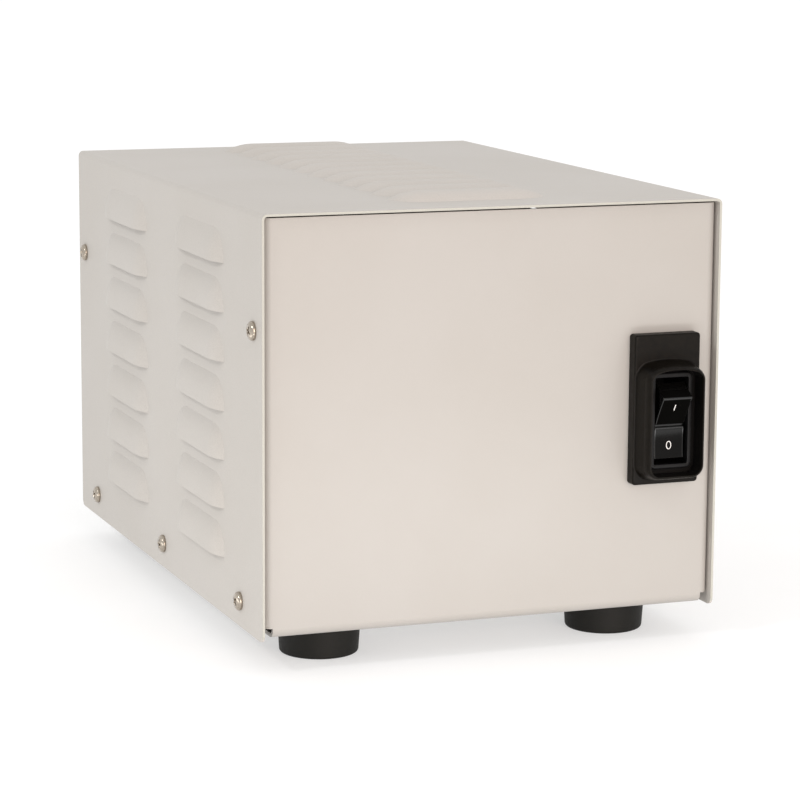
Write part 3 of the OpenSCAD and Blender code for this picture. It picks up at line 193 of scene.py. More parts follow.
def moulded_grain_group():
    """Fine pitted grain of a spark-eroded mould."""
    group, start, end = new_group("Moulded Grain", GRAIN_INPUTS, ("Height", "Fleck"))
    vector, size = start.outputs["Vector"], start.outputs["Size"]
    cells = group.nodes.new("ShaderNodeTexVoronoi")
    cells.feature = "SMOOTH_F1"
    group.links.new(vector, cells.inputs["Vector"])
    group.links.new(math_node(group, "DIVIDE", 1.0, size), cells.inputs["Scale"])
    cloud = noise_node(group, vector, math_node(group, "DIVIDE", 0.6, size), 4.0)
    height = math_node(group, "ADD", cells.outputs["Distance"], math_node(group, "MULTIPLY", cloud, 0.5))
    group.links.new(span_node(group, height, 0.2, 1.1), end.inputs["Height"])
    group.links.new(span_node(group, cloud, 0.3, 0.7), end.inputs["Fleck"])
    return group


def drawn_metal_group():
    """Faint lines left by rolling or turning, along the Y of the frame."""
    group, start, end = new_group("Drawn Metal", GRAIN_INPUTS, ("Height", "Fleck"))
    stretch = group.nodes.new("ShaderNodeVectorMath")
    stretch.operation = "MULTIPLY"
    stretch.inputs[1].default_value = (1.0, 0.08, 1.0)
    group.links.new(start.outputs["Vector"], stretch.inputs[0])
    scale = math_node(group, "DIVIDE", 1.0, start.outputs["Size"])
    lines = noise_node(group, stretch.outputs["Vector"], scale, 3.0)
    group.links.new(span_node(group, lines, 0.3, 0.7), end.inputs["Height"])
    group.links.new(span_node(group, lines, 0.35, 0.65), end.inputs["Fleck"])
    return group


def layer_bands_group():
    """Round bands side by side, as wire turns or stacked sheets show, across one axis."""
    inputs = GRAIN_INPUTS + (("Across", "NodeSocketVector", (0.0, 0.0, 1.0)),)
    group, start, end = new_group("Layer Bands", inputs, ("Height", "Fleck"))
    along = group.nodes.new("ShaderNodeVectorMath")
    along.operation = "DOT_PRODUCT"
    group.links.new(start.outputs["Vector"], along.inputs[0])
    group.links.new(start.outputs["Across"], along.inputs[1])
    turns = math_node(group, "DIVIDE", along.outputs["Value"], start.outputs["Size"])
    wave = math_node(group, "SINE", math_node(group, "MULTIPLY", turns, math.tau), 0.0)
    group.links.new(span_node(group, wave, -1.0, 1.0), end.inputs["Height"])
    wide = math_node(group, "DIVIDE", 0.4, start.outputs["Size"])
    shade = noise_node(group, start.outputs["Vector"], wide, 2.0)
    group.links.new(span_node(group, shade, 0.3, 0.7), end.inputs["Fleck"])
    return group


def slow_drift_group():
    """Wide, faint patches, as uneven spraying, handling and dust leave."""
    group, start, end = new_group("Slow Drift", GRAIN_INPUTS, ("Mask",))
    scale = math_node(group, "DIVIDE", 1.0, start.outputs["Size"])
    cloud = noise_node(group, start.outputs["Vector"], scale, 5.0)
    group.links.new(span_node(group, cloud, 0.35, 0.65), end.inputs["Mask"])
    return group


def box_mask_group():
    """Mask of the space inside a box with a thin fade, for a mould's polished core side, a gloss set arm by arm,
    and painted shade on the cover's ends.
    """
    inputs = (
        ("Vector", "NodeSocketVector", None),
        ("Middle", "NodeSocketVector", (0.0, 0.0, 0.0)),
        ("Half", "NodeSocketVector", (1.0, 1.0, 1.0)),
    )
    group, start, end = new_group("Core Side", inputs, ("Mask",))
    away = group.nodes.new("ShaderNodeVectorMath")
    away.operation = "SUBTRACT"
    group.links.new(start.outputs["Vector"], away.inputs[0])
    group.links.new(start.outputs["Middle"], away.inputs[1])
    span = group.nodes.new("ShaderNodeVectorMath")
    span.operation = "ABSOLUTE"
    group.links.new(away.outputs["Vector"], span.inputs[0])
    share = group.nodes.new("ShaderNodeVectorMath")
    share.operation = "DIVIDE"
    group.links.new(span.outputs["Vector"], share.inputs[0])
    group.links.new(start.outputs["Half"], share.inputs[1])
    axes = group.nodes.new("ShaderNodeSeparateXYZ")
    group.links.new(share.outputs["Vector"], axes.inputs["Vector"])
    farthest = math_node(group, "MAXIMUM", axes.outputs["X"], axes.outputs["Y"])
    farthest = math_node(group, "MAXIMUM", farthest, axes.outputs["Z"])
    fade_begin = 0.97
    group.links.new(span_node(group, farthest, 1.0, fade_begin), end.inputs["Mask"])
    return group


def shaded(colour, factor):
    """A lighter or darker colour, with an alpha of one."""
    return tuple(min(1.0, c * factor) for c in colour) + (1.0,)


class Workshop:
    """The shader groups and the finish of each material slot, made once."""

    coat_roughness = 0.12
    patch_size = 60.0 * MM
    patch_tint = (0.97, 0.965, 0.955, 1.0)

    def __init__(self):
        self.grains = {
            "powder": powder_coat_group(),
            "moulded": moulded_grain_group(),
            "metal": drawn_metal_group(),
            "bands": layer_bands_group(),
        }
        self.drift = slow_drift_group()
        self.box_mask = box_mask_group()
        self.finishes = {}

    def grain_node(self, tree, vector, kind, size, across):
        """The shared grain of a kind, at a size and, for bands, across a direction."""
        node = tree.nodes.new("ShaderNodeGroup")
        node.node_tree = self.grains[kind]
        node.inputs["Size"].default_value = size
        if across:
            node.inputs["Across"].default_value = across
        tree.links.new(vector, node.inputs["Vector"])
        return node

    def finish(
        self, name, colour, roughness, grain, size, depth,
        vary=0.05, spread=0.06, metal=0.0, coat=0.0, shine=0.5, glow=0.0, across=None,
    ):
        """A Principled surface whose colour, roughness and bumps come from one grain and the slow drift."""
        material = bpy.data.materials.new(name)
        material.use_nodes = True
        tree = material.node_tree
        shader = tree.nodes["Principled BSDF"]
        shader.inputs["Metallic"].default_value = metal
        shader.inputs["Coat Weight"].default_value = coat
        shader.inputs["Specular IOR Level"].default_value = shine
        shader.inputs["Emission Color"].default_value = WHITE
        shader.inputs["Emission Strength"].default_value = glow
        shader.inputs["Coat Roughness"].default_value = self.coat_roughness
        vector = tree.nodes.new("ShaderNodeTexCoord").outputs["Object"]
        surface = self.grain_node(tree, vector, grain, size, across)
        patches = tree.nodes.new("ShaderNodeGroup")
        patches.node_tree = self.drift
        patches.inputs["Size"].default_value = self.patch_size
        tree.links.new(vector, patches.inputs["Vector"])

        tone = tree.nodes.new("ShaderNodeMix")
        tone.data_type = "RGBA"
        tone.inputs["A"].default_value = shaded(colour, 1.0 - vary)
        tone.inputs["B"].default_value = shaded(colour, 1.0 + vary)
        tree.links.new(surface.outputs["Fleck"], tone.inputs["Factor"])
        patchy = tree.nodes.new("ShaderNodeMix")
        patchy.data_type = "RGBA"
        patchy.blend_type = "MULTIPLY"
        patchy.inputs["B"].default_value = self.patch_tint
        tree.links.new(patches.outputs["Mask"], patchy.inputs["Factor"])
        tree.links.new(tone.outputs["Result"], patchy.inputs["A"])
        tree.links.new(patchy.outputs["Result"], shader.inputs["Base Color"])

        rough = span_node(tree, surface.outputs["Fleck"], 0.0, 1.0, roughness - spread, roughness + spread)
        tree.links.new(rough, shader.inputs["Roughness"])
        bump = tree.nodes.new("ShaderNodeBump")
        bump.inputs["Distance"].default_value = depth
        tree.links.new(surface.outputs["Height"], bump.inputs["Height"])
        tree.links.new(bump.outputs["Normal"], shader.inputs["Normal"])
        self.finishes[name] = material
        return material

    def blend_inside(self, name, middle, half, values):
        """Blends inputs of a finish towards other values inside a box."""
        tree = self.finishes[name].node_tree
        mask = tree.nodes.new("ShaderNodeGroup")
        mask.node_tree = self.box_mask
        mask.inputs["Middle"].default_value = middle
        mask.inputs["Half"].default_value = half
        tree.links.new(tree.nodes.new("ShaderNodeTexCoord").outputs["Object"], mask.inputs["Vector"])
        for label, value in values.items():
            socket = tree.nodes["Principled BSDF"].inputs[label]
            mix = tree.nodes.new("ShaderNodeMix")
            mix.data_type = "RGBA" if socket.type == "RGBA" else "FLOAT"
            mix.inputs["B"].default_value = value
            if socket.is_linked:
                tree.links.new(socket.links[0].from_socket, mix.inputs["A"])
            else:
                mix.inputs["A"].default_value = socket.default_value
            tree.links.new(mask.outputs["Mask"], mix.inputs["Factor"])
            tree.links.new(mix.outputs["Result"], socket)


# Set by the finishes operator, before any piece is made
workshop = None


# Shapes


def rounded_outline(width, height, low_r, top_r, rise=0.0, steps=8, top_steps=8):
    """Points of an upright outline about its middle, with round corners and a top edge arched by rise."""
    half_w, half_h = width / 2, height / 2
    corners = (
        (half_w - low_r, low_r - half_h, low_r, -90.0),
        (half_w - top_r, half_h - rise - top_r, top_r, 0.0),
        (top_r - half_w, half_h - rise - top_r, top_r, 90.0),
        (low_r - half_w, low_r - half_h, low_r, 180.0),
    )
    points = []
    for number, (x, z, r, begin) in enumerate(corners):
        for i in range(steps + 1):
            a = math.radians(begin + 90.0 * i / steps)
            points.append((x + r * math.cos(a), z + r * math.sin(a)))
        if number == 1:
            ends = (half_w - top_r, top_r - half_w)
            for i in range(1, top_steps):
                points.append((ends[0] + (ends[1] - ends[0]) * i / top_steps, half_h - rise))
    arch_z = half_h - rise - top_r

    def arched(x, z):
        return z + rise * (1.0 - (x / half_w) ** 2) * min(1.0, max(0.0, (z - arch_z) / top_r))

    return [(x, arched(x, z)) for x, z in points]


def upright_ring(mesh, outline, y, middle):
    """A closed loop of edges in an upright plane; returns its edges."""
    verts = bmesh.ops.create_circle(mesh, segments=len(outline), radius=1.0)["verts"]
    for vert, (x, z) in zip(verts, outline):
        vert.co = (middle[0] + x, y, middle[1] + z)
    return list({edge for vert in verts for edge in vert.link_edges})


def level_pair(first, second):
    """Whether two rings lie in one plane across the Y or the Z axis."""
    points = [vert.co for edge in first + second for vert in edge.verts]
    spans = (max(p[axis] for p in points) - min(p[axis] for p in points) for axis in (1, 2))
    return any(span < LEVEL_LIMIT for span in spans)


def bridge_all(mesh, rings, closed):
    """Joins each ring of edges to the next, and the last to the first of a closed row."""
    pairs = list(zip(rings, rings[1:]))
    if closed:
        pairs.append((rings[-1], rings[0]))
    for first, second in pairs:
        if level_pair(first, second):
            fill_between(mesh, (first, second))
        else:
            bmesh.ops.bridge_loops(mesh, edges=first + second)


def close_ring(mesh, ring):
    """Closes a ring with one face."""
    bmesh.ops.contextual_create(mesh, geom=[edge for edge in ring if edge.is_valid])


def fill_between(mesh, rings):
    """Fills a flat face bounded by an outer ring and by the holes in it."""
    bmesh.ops.triangle_fill(mesh, use_beauty=True, edges=[edge for ring in rings for edge in ring])


def tidy_normals(mesh):
    """Joins the points that meet and turns every face outwards."""
    bmesh.ops.remove_doubles(mesh, verts=mesh.verts, dist=JOIN_LIMIT)
    bmesh.ops.recalc_face_normals(mesh, faces=mesh.faces)


def add_piece(name, mesh, slot, body, replaced=(), smooth_angle=35.0, material=None):
    """Makes a bmesh an object at the origin with its finish, its body and the nodes that it stands for."""
    data = bpy.data.meshes.new(name)
    mesh.to_mesh(data)
    mesh.free()
    data.shade_smooth()
    data.set_sharp_from_angle(angle=math.radians(smooth_angle))
    data.materials.append(workshop.finishes[material or slot])
    piece = bpy.data.objects.new(name, data)
    bpy.context.scene.collection.objects.link(piece)
    weighted = piece.modifiers.new("face_weighted_normals", "WEIGHTED_NORMAL")
    weighted.keep_sharp = True
    weighted.weight = 100
    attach(piece, body)
    if replaced:
        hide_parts(*replaced)
    return piece


def spun_profile(mesh, profile, steps=48):
    """Spins a profile of radius and height round the Z axis into a closed solid."""
    verts = [mesh.verts.new((radius, 0.0, height)) for radius, height in profile]
    edges = [mesh.edges.new(pair) for pair in zip(verts, verts[1:])]
    bmesh.ops.spin(
        mesh,
        geom=verts + edges,
        cent=(0.0, 0.0, 0.0),
        axis=(0.0, 0.0, 1.0),
        angle=math.tau,
        steps=steps,
        use_merge=True,
        use_duplicate=False,
    )
    tidy_normals(mesh)


def arc_points(centre, radius, begin, end, steps):
    """Points of an arc between two angles in degrees, ends included."""
    angles = [math.radians(begin + (end - begin) * i / steps) for i in range(steps + 1)]
    return [(centre[0] + radius * math.cos(a), centre[1] + radius * math.sin(a)) for a in angles]


# Operators


class TRANSFORMER_OT_finishes(bpy.types.Operator):
    """Gives every CAD node the finish of its material slot"""

    bl_idname = "transformer.finishes"
    bl_label = "Finishes"

    # A finish is given as its name, colour, roughness and grain, and that grain's width and height in metres

    # Painted shade on the cover's front and rear ends, which the key light in front would light: how deep it goes,
    # and how far out of the end its mask has its middle
    rim_shade_colour = (0.385, 0.384, 0.344, 1.0)
    rim_shade_depth = 0.5 * MM
    rim_shade_reach = 5.0 * MM

    # The inside of the guard's collar
    core_half_w = 10.7 * MM
    core_half_h = 20.3 * MM
    core_back = 0.6 * MM
    core_values = {"Base Color": (0.004, 0.0035, 0.0032, 1.0), "Roughness": 0.35}

    # Boxes round the rocker's two arms, from its pivot
    arm_front = 7.3 * MM
    arm_half_w = 5.55 * MM
    arm_half_d = 6.5 * MM
    on_arm_rise, on_arm_half_h = 5.2 * MM, 6.6 * MM
    off_arm_drop, off_arm_half_h = 9.0 * MM, 5.9 * MM

    def execute(self, context):
        global workshop
        workshop = Workshop()
        colours, sizes = context.scene.transformer_colours, context.scene.transformer_sizes
        self.add_paints(colours, sizes.peel, sizes.peel_depth)
        self.add_guard_plastic(colours.guard)
        self.add_switch_plastics(colours)
        self.add_mouldings(colours)
        self.add_board_finishes()
        self.add_metals()
        self.add_core_finishes()
        self.add_leads()
        for row in frame["record"]["subparts"]:
            for socket in frame["nodes"][row["node"]].material_slots:
                socket.material = workshop.finishes[row["material_slot"]]
        return {"FINISHED"}

    def add_paints(self, colours, peel, depth):
        """Powder coats: coarse on the cover with painted shade on its front and rear ends, and nearly smooth on
        the panels, whose darker colour is painted shade against the key light.
        """
        workshop.finish("cover_paint", colours.cover, 0.50, "powder", peel, depth, vary=0.07)
        # Painted shade: the cover's front and rear ends are darkened against the key light that falls on them
        low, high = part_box("wrap_cover")
        half = (high.x - low.x, self.rim_shade_reach + self.rim_shade_depth, high.z)
        for y in (low.y - self.rim_shade_reach, high.y + self.rim_shade_reach):
            middle = ((low.x + high.x) / 2, y, high.z / 2)
            workshop.blend_inside("cover_paint", middle, half, {"Base Color": self.rim_shade_colour})
        # Painted shade: the panels' colour is set darker to offset the key light in front
        workshop.finish("panel_paint", colours.panel, 0.42, "powder", peel * 0.8, depth * 0.35, vary=0.012)

    def add_guard_plastic(self, colour):
        """Grained plastic with a smoother inside of the collar."""
        workshop.finish("guard_plastic", colour, 0.42, "moulded", 0.0011, 0.00002, vary=0.35, shine=0.12)
        low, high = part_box("switch_guard")
        middle = ((low.x + high.x) / 2, (low.y + high.y) / 2 + self.core_back, SWITCH_Z)
        half = (self.core_half_w, (high.y - low.y) / 2, self.core_half_h)
        workshop.blend_inside("guard_plastic", middle, half, self.core_values)

    def add_switch_plastics(self, colours):
        """Plastics of the breaker: satin bezel, rocker with a gloss set arm by arm, and printed marks."""
        make = workshop.finish
        make(
            "breaker_plastic", (0.006, 0.006, 0.0062), 0.34, "moulded", 0.0008, 0.00001,
            vary=0.1, shine=0.15,
        )
        make(
            "rocker_plastic", colours.rocker, 0.16, "moulded", 0.004, 0.000003,
            vary=0.08, spread=0.03, coat=1.0, shine=0.0,
        )
        pivot = frame["joints"][0]["pos_m"]
        for rise, half_h, coat in (
            (self.on_arm_rise, self.on_arm_half_h, 0.0),
            (-self.off_arm_drop, self.off_arm_half_h, 0.2),
        ):
            middle = (pivot[0], pivot[1] - self.arm_front, pivot[2] + rise)
            half = (self.arm_half_w, self.arm_half_d, half_h)
            workshop.blend_inside("rocker_plastic", middle, half, {"Coat Weight": coat})
        make("switch_marks", colours.marks, 0.5, "powder", 0.0004, 0.000005, vary=0.03)

    def add_mouldings(self, colours):
        """Rubber and plastics of the feet, the outlets, the gland, the block and the bobbin."""
        make = workshop.finish
        make("foot_rubber", colours.rubber, 0.6, "moulded", 0.0009, 0.00003, vary=0.25, shine=0.22)
        make("outlet_plastic", colours.outlets, 0.32, "moulded", 0.0012, 0.00001, vary=0.08, shine=0.4)
        make("gland_nylon", (0.018, 0.018, 0.019), 0.45, "moulded", 0.0007, 0.00002, vary=0.12)
        make("gland_rubber", (0.03, 0.03, 0.03), 0.6, "moulded", 0.0008, 0.00002, vary=0.12)
        make("block_plastic", (0.02, 0.02, 0.022), 0.4, "moulded", 0.0008, 0.00002, vary=0.1)
        make("bobbin_nylon", (0.68, 0.64, 0.52), 0.4, "moulded", 0.0012, 0.00002, vary=0.03)

    def add_board_finishes(self):
        """The surge board's laminate, with its weave aslant, and the coats of what it carries."""
        make = workshop.finish
        make("varistor_coat", (0.03, 0.09, 0.32), 0.35, "moulded", 0.0015, 0.00003, vary=0.08)
        make("capacitor_case", (0.55, 0.33, 0.05), 0.32, "moulded", 0.001, 0.00001, vary=0.05)
        make(
            "board_laminate", (0.02, 0.11, 0.05), 0.35, "bands", 0.0009, 0.00001,
            vary=0.12, across=(0.7, 0.7, 0.0),
        )

    def add_metals(self):
        """Plated, rolled and turned metals."""
        make = workshop.finish
        make("case_screw", (0.42, 0.37, 0.31), 0.22, "metal", 0.0006, 0.000005, vary=0.1, metal=1.0)
        make("zinc_screw", (0.66, 0.67, 0.68), 0.27, "metal", 0.0006, 0.000005, vary=0.06, metal=1.0)
        make("tinned_brass", (0.66, 0.64, 0.58), 0.3, "metal", 0.0005, 0.000005, vary=0.06, metal=1.0)
        make("strap_steel", (0.60, 0.61, 0.61), 0.34, "metal", 0.0006, 0.00001, vary=0.08, metal=1.0)
        make("brass", (0.72, 0.50, 0.20), 0.28, "metal", 0.0005, 0.00001, vary=0.08, metal=1.0)
        make("copper_foil", (0.78, 0.42, 0.26), 0.3, "metal", 0.0015, 0.00003, vary=0.08, metal=1.0)

    def add_core_finishes(self):
        """Stacked laminations, wire turns and tape, banded across the way that they are laid."""
        make = workshop.finish
        make(
            "lamination_steel", (0.20, 0.20, 0.21), 0.5, "bands", 0.0005, 0.00006,
            vary=0.2, metal=1.0, across=(1.0, 0.0, 0.0),
        )
        make(
            "enamelled_copper", (0.45, 0.14, 0.05), 0.3, "bands", 0.0012, 0.0003,
            vary=0.15, coat=0.4, across=(0.0, 0.0, 1.0),
        )
        make(
            "insulating_tape", (0.50, 0.32, 0.06), 0.38, "bands", 0.012, 0.00015,
            vary=0.1, across=(0.0, 0.3, 0.95),
        )

    def add_leads(self):
        """Insulation of the wires: black, white and green."""
        make = workshop.finish
        make("lead_black", (0.014, 0.014, 0.014), 0.42, "moulded", 0.0012, 0.00001, vary=0.1)
        make("lead_white", (0.62, 0.61, 0.58), 0.42, "moulded", 0.0012, 0.00001, vary=0.04)
        make("lead_green", (0.02, 0.20, 0.05), 0.42, "moulded", 0.0012, 0.00001, vary=0.08)


class TRANSFORMER_OT_guard(bpy.types.Operator):
    """Moulds the switch guard: a plate with a window and a collar with a round lip"""

    bl_idname = "transformer.guard"
    bl_label = "Switch guard"

    plate_t = 5.0 * MM
    plate_corner_r = 1.2 * MM
    window_w, window_h, window_corner_r = 16.2 * MM, 35.2 * MM, 0.3 * MM
    collar_w, collar_h = 25.2 * MM, 44.4 * MM
    collar_low_r, collar_top_r, collar_arch = 6.0 * MM, 4.5 * MM, 2.1 * MM
    collar_draft, collar_wall, collar_floor_t = 0.9 * MM, 2.4 * MM, 7.1 * MM
    lip, lip_depth, inner_edge = 1.3 * MM, 4.2 * MM, 0.2 * MM
    fillet = 0.54 * MM

    # The collar's root is sunk in the plate: how far in, how deep, and how deep at the fillet's foot
    root_inset, root_depth, foot_depth = 1.5 * MM, 1.0 * MM, 0.4 * MM

    def execute(self, context):
        edge = context.scene.transformer_sizes.plastic_edge
        low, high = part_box("switch_guard")
        middle = ((low.x + high.x) / 2, (low.z + high.z) / 2)
        mesh = bmesh.new()
        self.add_plate(mesh, high.x - low.x, high.z - low.z, high.y, middle, 2 * edge)
        self.add_collar(mesh, low.y, high.y, (middle[0], SWITCH_Z))
        tidy_normals(mesh)
        add_piece("moulded_guard", mesh, "guard_plastic", "case", ("switch_guard",))
        return {"FINISHED"}

    def add_plate(self, mesh, width, height, back_y, middle, edge):
        """The plate on the panel: a window through it and a round front edge."""
        front_y = back_y - self.plate_t
        corner_r = self.plate_corner_r
        rings = [self.window_ring(mesh, y, (middle[0], SWITCH_Z)) for y in (front_y, back_y)]
        for inset, y in [(0.0, back_y)] + arc_points((edge, front_y + edge), edge, 180.0, 270.0, 5):
            outline = rounded_outline(width - 2 * inset, height - 2 * inset, corner_r, corner_r)
            rings.append(upright_ring(mesh, outline, y, middle))
        bridge_all(mesh, rings, closed=True)

    def collar_section(self, rim_y, base_y, floor_y):
        """Insets and places of the collar's wall: fillet, outside, round lip and inside down to its floor."""
        fillet, lip, small = self.fillet, self.lip, self.inner_edge
        section = [(self.root_inset, base_y + self.root_depth), (-fillet, base_y + self.foot_depth)]
        section += arc_points((-fillet, base_y - fillet), fillet, 90.0, 0.0, 5)
        for inset, depth in arc_points((self.collar_draft + lip, lip), lip, 180.0, 270.0, 9):
            section.append((inset, rim_y + depth * self.lip_depth / lip))
        section += arc_points((self.collar_wall - small, rim_y + small), small, 270.0, 360.0, 3)[1:]
        return section + [(self.collar_wall, floor_y)]

    def add_collar(self, mesh, rim_y, back_y, middle):
        """The collar: a fillet on the plate, a wall with a round lip, and a floor round the switch."""
        base_y, floor_y = back_y - self.plate_t, back_y - self.collar_floor_t
        rings = []
        for inset, y in self.collar_section(rim_y, base_y, floor_y):
            outline = rounded_outline(
                self.collar_w - 2 * inset,
                self.collar_h - 2 * inset,
                self.collar_low_r - inset,
                self.collar_top_r - inset,
                self.collar_arch,
            )
            rings.append(upright_ring(mesh, outline, y, middle))
        rings += [self.window_ring(mesh, y, middle) for y in (floor_y, base_y + self.root_depth)]
        bridge_all(mesh, rings, closed=True)

    def window_ring(self, mesh, y, middle):
        """The window's outline at one depth."""
        outline = rounded_outline(self.window_w, self.window_h, self.window_corner_r, self.window_corner_r)
        return upright_ring(mesh, outline, y, middle)


class TRANSFORMER_OT_breaker(bpy.types.Operator):
    """Moulds the breaker's bezel, the well that the rocker moves in and the shell behind the panel"""

    bl_idname = "transformer.breaker"
    bl_label = "Breaker"

    bezel_h, bezel_t, bezel_wall = 36.0 * MM, 2.1 * MM, 1.85 * MM
    outer_corner_r, inner_corner_r = 2.2 * MM, 0.6 * MM
    edge, inner_edge = 0.7 * MM, 0.3 * MM
    shell_inset, shell_corner_r = 0.5 * MM, 0.8 * MM
    well_wall, well_corner_r, well_depth = 1.5 * MM, 0.3 * MM, 22.0 * MM

    def execute(self, context):
        low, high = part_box("breaker_body")
        middle = ((low.x + high.x) / 2, SWITCH_Z)
        width, front_y, back_y = high.x - low.x, low.y, high.y
        seat_y = front_y + self.bezel_t
        mesh = bmesh.new()
        rings = []

        def ring(y, inset, corner_r):
            outline = rounded_outline(width - 2 * inset, self.bezel_h - 2 * inset, corner_r, corner_r)
            rings.append(upright_ring(mesh, outline, y, middle))

        ring(back_y, self.shell_inset, self.shell_corner_r)
        ring(seat_y, self.shell_inset, self.shell_corner_r)
        ring(seat_y, 0.0, self.outer_corner_r)
        for inset, y in arc_points((self.edge, front_y + self.edge), self.edge, 180.0, 270.0, 5):
            ring(y, inset, self.outer_corner_r - inset)
        turn = (self.bezel_wall - self.inner_edge, front_y + self.inner_edge)
        for inset, y in arc_points(turn, self.inner_edge, 270.0, 360.0, 3):
            ring(y, inset, self.inner_corner_r)
        ring(seat_y, self.bezel_wall, self.inner_corner_r)
        ring(seat_y, self.well_wall, self.well_corner_r)
        ring(front_y + self.well_depth, self.well_wall, self.well_corner_r)
        bridge_all(mesh, rings, closed=False)
        close_ring(mesh, rings[0])
        close_ring(mesh, rings[-1])
        tidy_normals(mesh)
        add_piece("breaker_bezel", mesh, "breaker_plastic", "case", ("breaker_body",))
        return {"FINISHED"}


class TRANSFORMER_OT_rocker(bpy.types.Operator):
    """Moulds the rocker with its two dished faces and prints the on and off marks"""

    bl_idname = "transformer.rocker"
    bl_label = "Rocker"

    tilt = math.radians(16.0)
    width = 11.7 * MM
    on_l, off_l = 13.4 * MM, 12.5 * MM
    valley = 7.3 * MM
    begin, begin_r = 0.8 * MM, 0.35 * MM
    groove_half_w, groove_depth = 0.45 * MM, 0.6 * MM
    dish_depth = 0.3 * MM
    tip_r = 0.5 * MM
    skirt_depth, hub_r, back = 8.6 * MM, 3.0 * MM, 5.0 * MM
    rim_edge = 0.3 * MM

    # The marks: print's thickness, ring's stroke, and where their middles lie from the valley
    mark_t, mark_stroke, mark_edge = 0.04 * MM, 0.4 * MM, 0.1 * MM
    on_mark_place, off_mark_place = 8.6 * MM, 7.4 * MM
    bar_w_share, bar_h_share = 0.85, 0.9
    ring_stroke_share, ring_half_w_share = 0.7, 0.34

    def face_point(self, sign, length, raised):
        """A point of a rocker face before the turn: sign is 1 for the on arm and -1 for the off arm."""
        along = Vector((0.0, -math.sin(self.tilt), sign * math.cos(self.tilt)))
        out = Vector((0.0, -math.cos(self.tilt), -sign * math.sin(self.tilt)))
        return Vector((0.0, -self.valley, 0.0)) + length * along + raised * out

    def dish(self, face_l, length):
        """Depth of the dished face at a distance from the valley."""
        share = (length - self.begin) / (face_l - self.tip_r - self.begin)
        return 4.0 * share * (1.0 - share) * self.dish_depth

    def arm(self, sign, face_l):
        """Profile of one arm: groove, round edge, dished face, round tip and skirt."""
        points = [self.face_point(sign, self.groove_half_w, -self.groove_depth)]
        for inset, depth in arc_points((self.begin, -self.begin_r), self.begin_r, 180.0, 90.0, 3):
            points.append(self.face_point(sign, inset, depth))
        steps = 12
        for i in range(1, steps):
            length = self.begin + (face_l - self.tip_r - self.begin) * i / steps
            points.append(self.face_point(sign, length, -self.dish(face_l, length)))
        for length, depth in arc_points((face_l - self.tip_r, -self.tip_r), self.tip_r, 90.0, 0.0, 5):
            points.append(self.face_point(sign, length, depth))
        points.append(self.face_point(sign, face_l, -self.skirt_depth))
        points.append(Vector((0.0, 0.0, sign * self.hub_r)))
        return points

    def execute(self, context):
        pivot = Vector(frame["joints"][0]["pos_m"])
        turn = Matrix.Translation(pivot) @ Matrix.Rotation(self.tilt, 4, "X")
        mesh = bmesh.new()
        profile = self.arm(1, self.on_l)[::-1] + self.arm(-1, self.off_l) + [Vector((0.0, self.back, 0.0))]
        start = [mesh.verts.new(point - Vector((self.width / 2, 0.0, 0.0))) for point in profile]
        side = bmesh.ops.extrude_face_region(mesh, geom=[mesh.faces.new(start)])
        moved = [v for v in side["geom"] if isinstance(v, bmesh.types.BMVert)]
        bmesh.ops.translate(mesh, verts=moved, vec=(self.width, 0.0, 0.0))
        rims = [e for e in mesh.edges if abs(e.verts[0].co.x - e.verts[1].co.x) < LEVEL_LIMIT]
        bmesh.ops.bevel(
            mesh,
            geom=rims,
            offset=self.rim_edge,
            offset_type="OFFSET",
            segments=3,
            profile=0.5,
            affect="EDGES",
            clamp_overlap=True,
            material=-1,
        )
        tidy_normals(mesh)
        mesh.transform(turn)
        add_piece("rocker", mesh, "rocker_plastic", "rocker", ("breaker_rocker",), smooth_angle=40.0)
        mark_h = context.scene.transformer_sizes.mark_height
        self.place_mark(self.bar_mark(mark_h), 1, self.on_l, self.on_mark_place, turn, "mark_on")
        self.place_mark(self.ring_mark(mark_h), -1, self.off_l, self.off_mark_place, turn, "mark_off")
        return {"FINISHED"}

    def bar_mark(self, height):
        """The mark for on, an upright bar with soft edges, drawn flat."""
        mesh = bmesh.new()
        rings = []
        for inset, y in ((0.0, 0.0), (0.0, self.mark_t), (self.mark_edge, self.mark_t)):
            bar_w, bar_h = self.bar_w_share * self.mark_stroke - inset, self.bar_h_share * height - inset
            outline = rounded_outline(bar_w, bar_h, self.mark_edge, self.mark_edge)
            rings.append(upright_ring(mesh, outline, y, (0.0, 0.0)))
        bridge_all(mesh, rings, closed=False)
        close_ring(mesh, rings[0])
        close_ring(mesh, rings[-1])
        return mesh

    def ring_mark(self, height):
        """The mark for off, an upright oval ring, drawn flat."""
        mesh = bmesh.new()
        rings = []
        stroke, steps = self.ring_stroke_share * self.mark_stroke, 40
        for inset, y in ((0.0, 0.0), (stroke, 0.0), (stroke, self.mark_t), (0.0, self.mark_t)):
            half_w, half_h = self.ring_half_w_share * height - inset, height / 2 - inset
            angles = [math.tau * i / steps for i in range(steps)]
            outline = [(half_w * math.cos(a), half_h * math.sin(a)) for a in angles]
            rings.append(upright_ring(mesh, outline, y, (0.0, 0.0)))
        bridge_all(mesh, rings, closed=True)
        return mesh

    def place_mark(self, mesh, sign, face_l, centre, turn, name):
        """Lays a mark drawn upright, with its thickness along Y, on the dished face."""
        for vert in mesh.verts:
            length = centre + sign * vert.co.z
            point = self.face_point(sign, length, vert.co.y - self.dish(face_l, length))
            vert.co = Vector((vert.co.x, point.y, point.z))
        tidy_normals(mesh)
        mesh.transform(turn)
        add_piece(name, mesh, "rocker_plastic", "rocker", material="switch_marks")


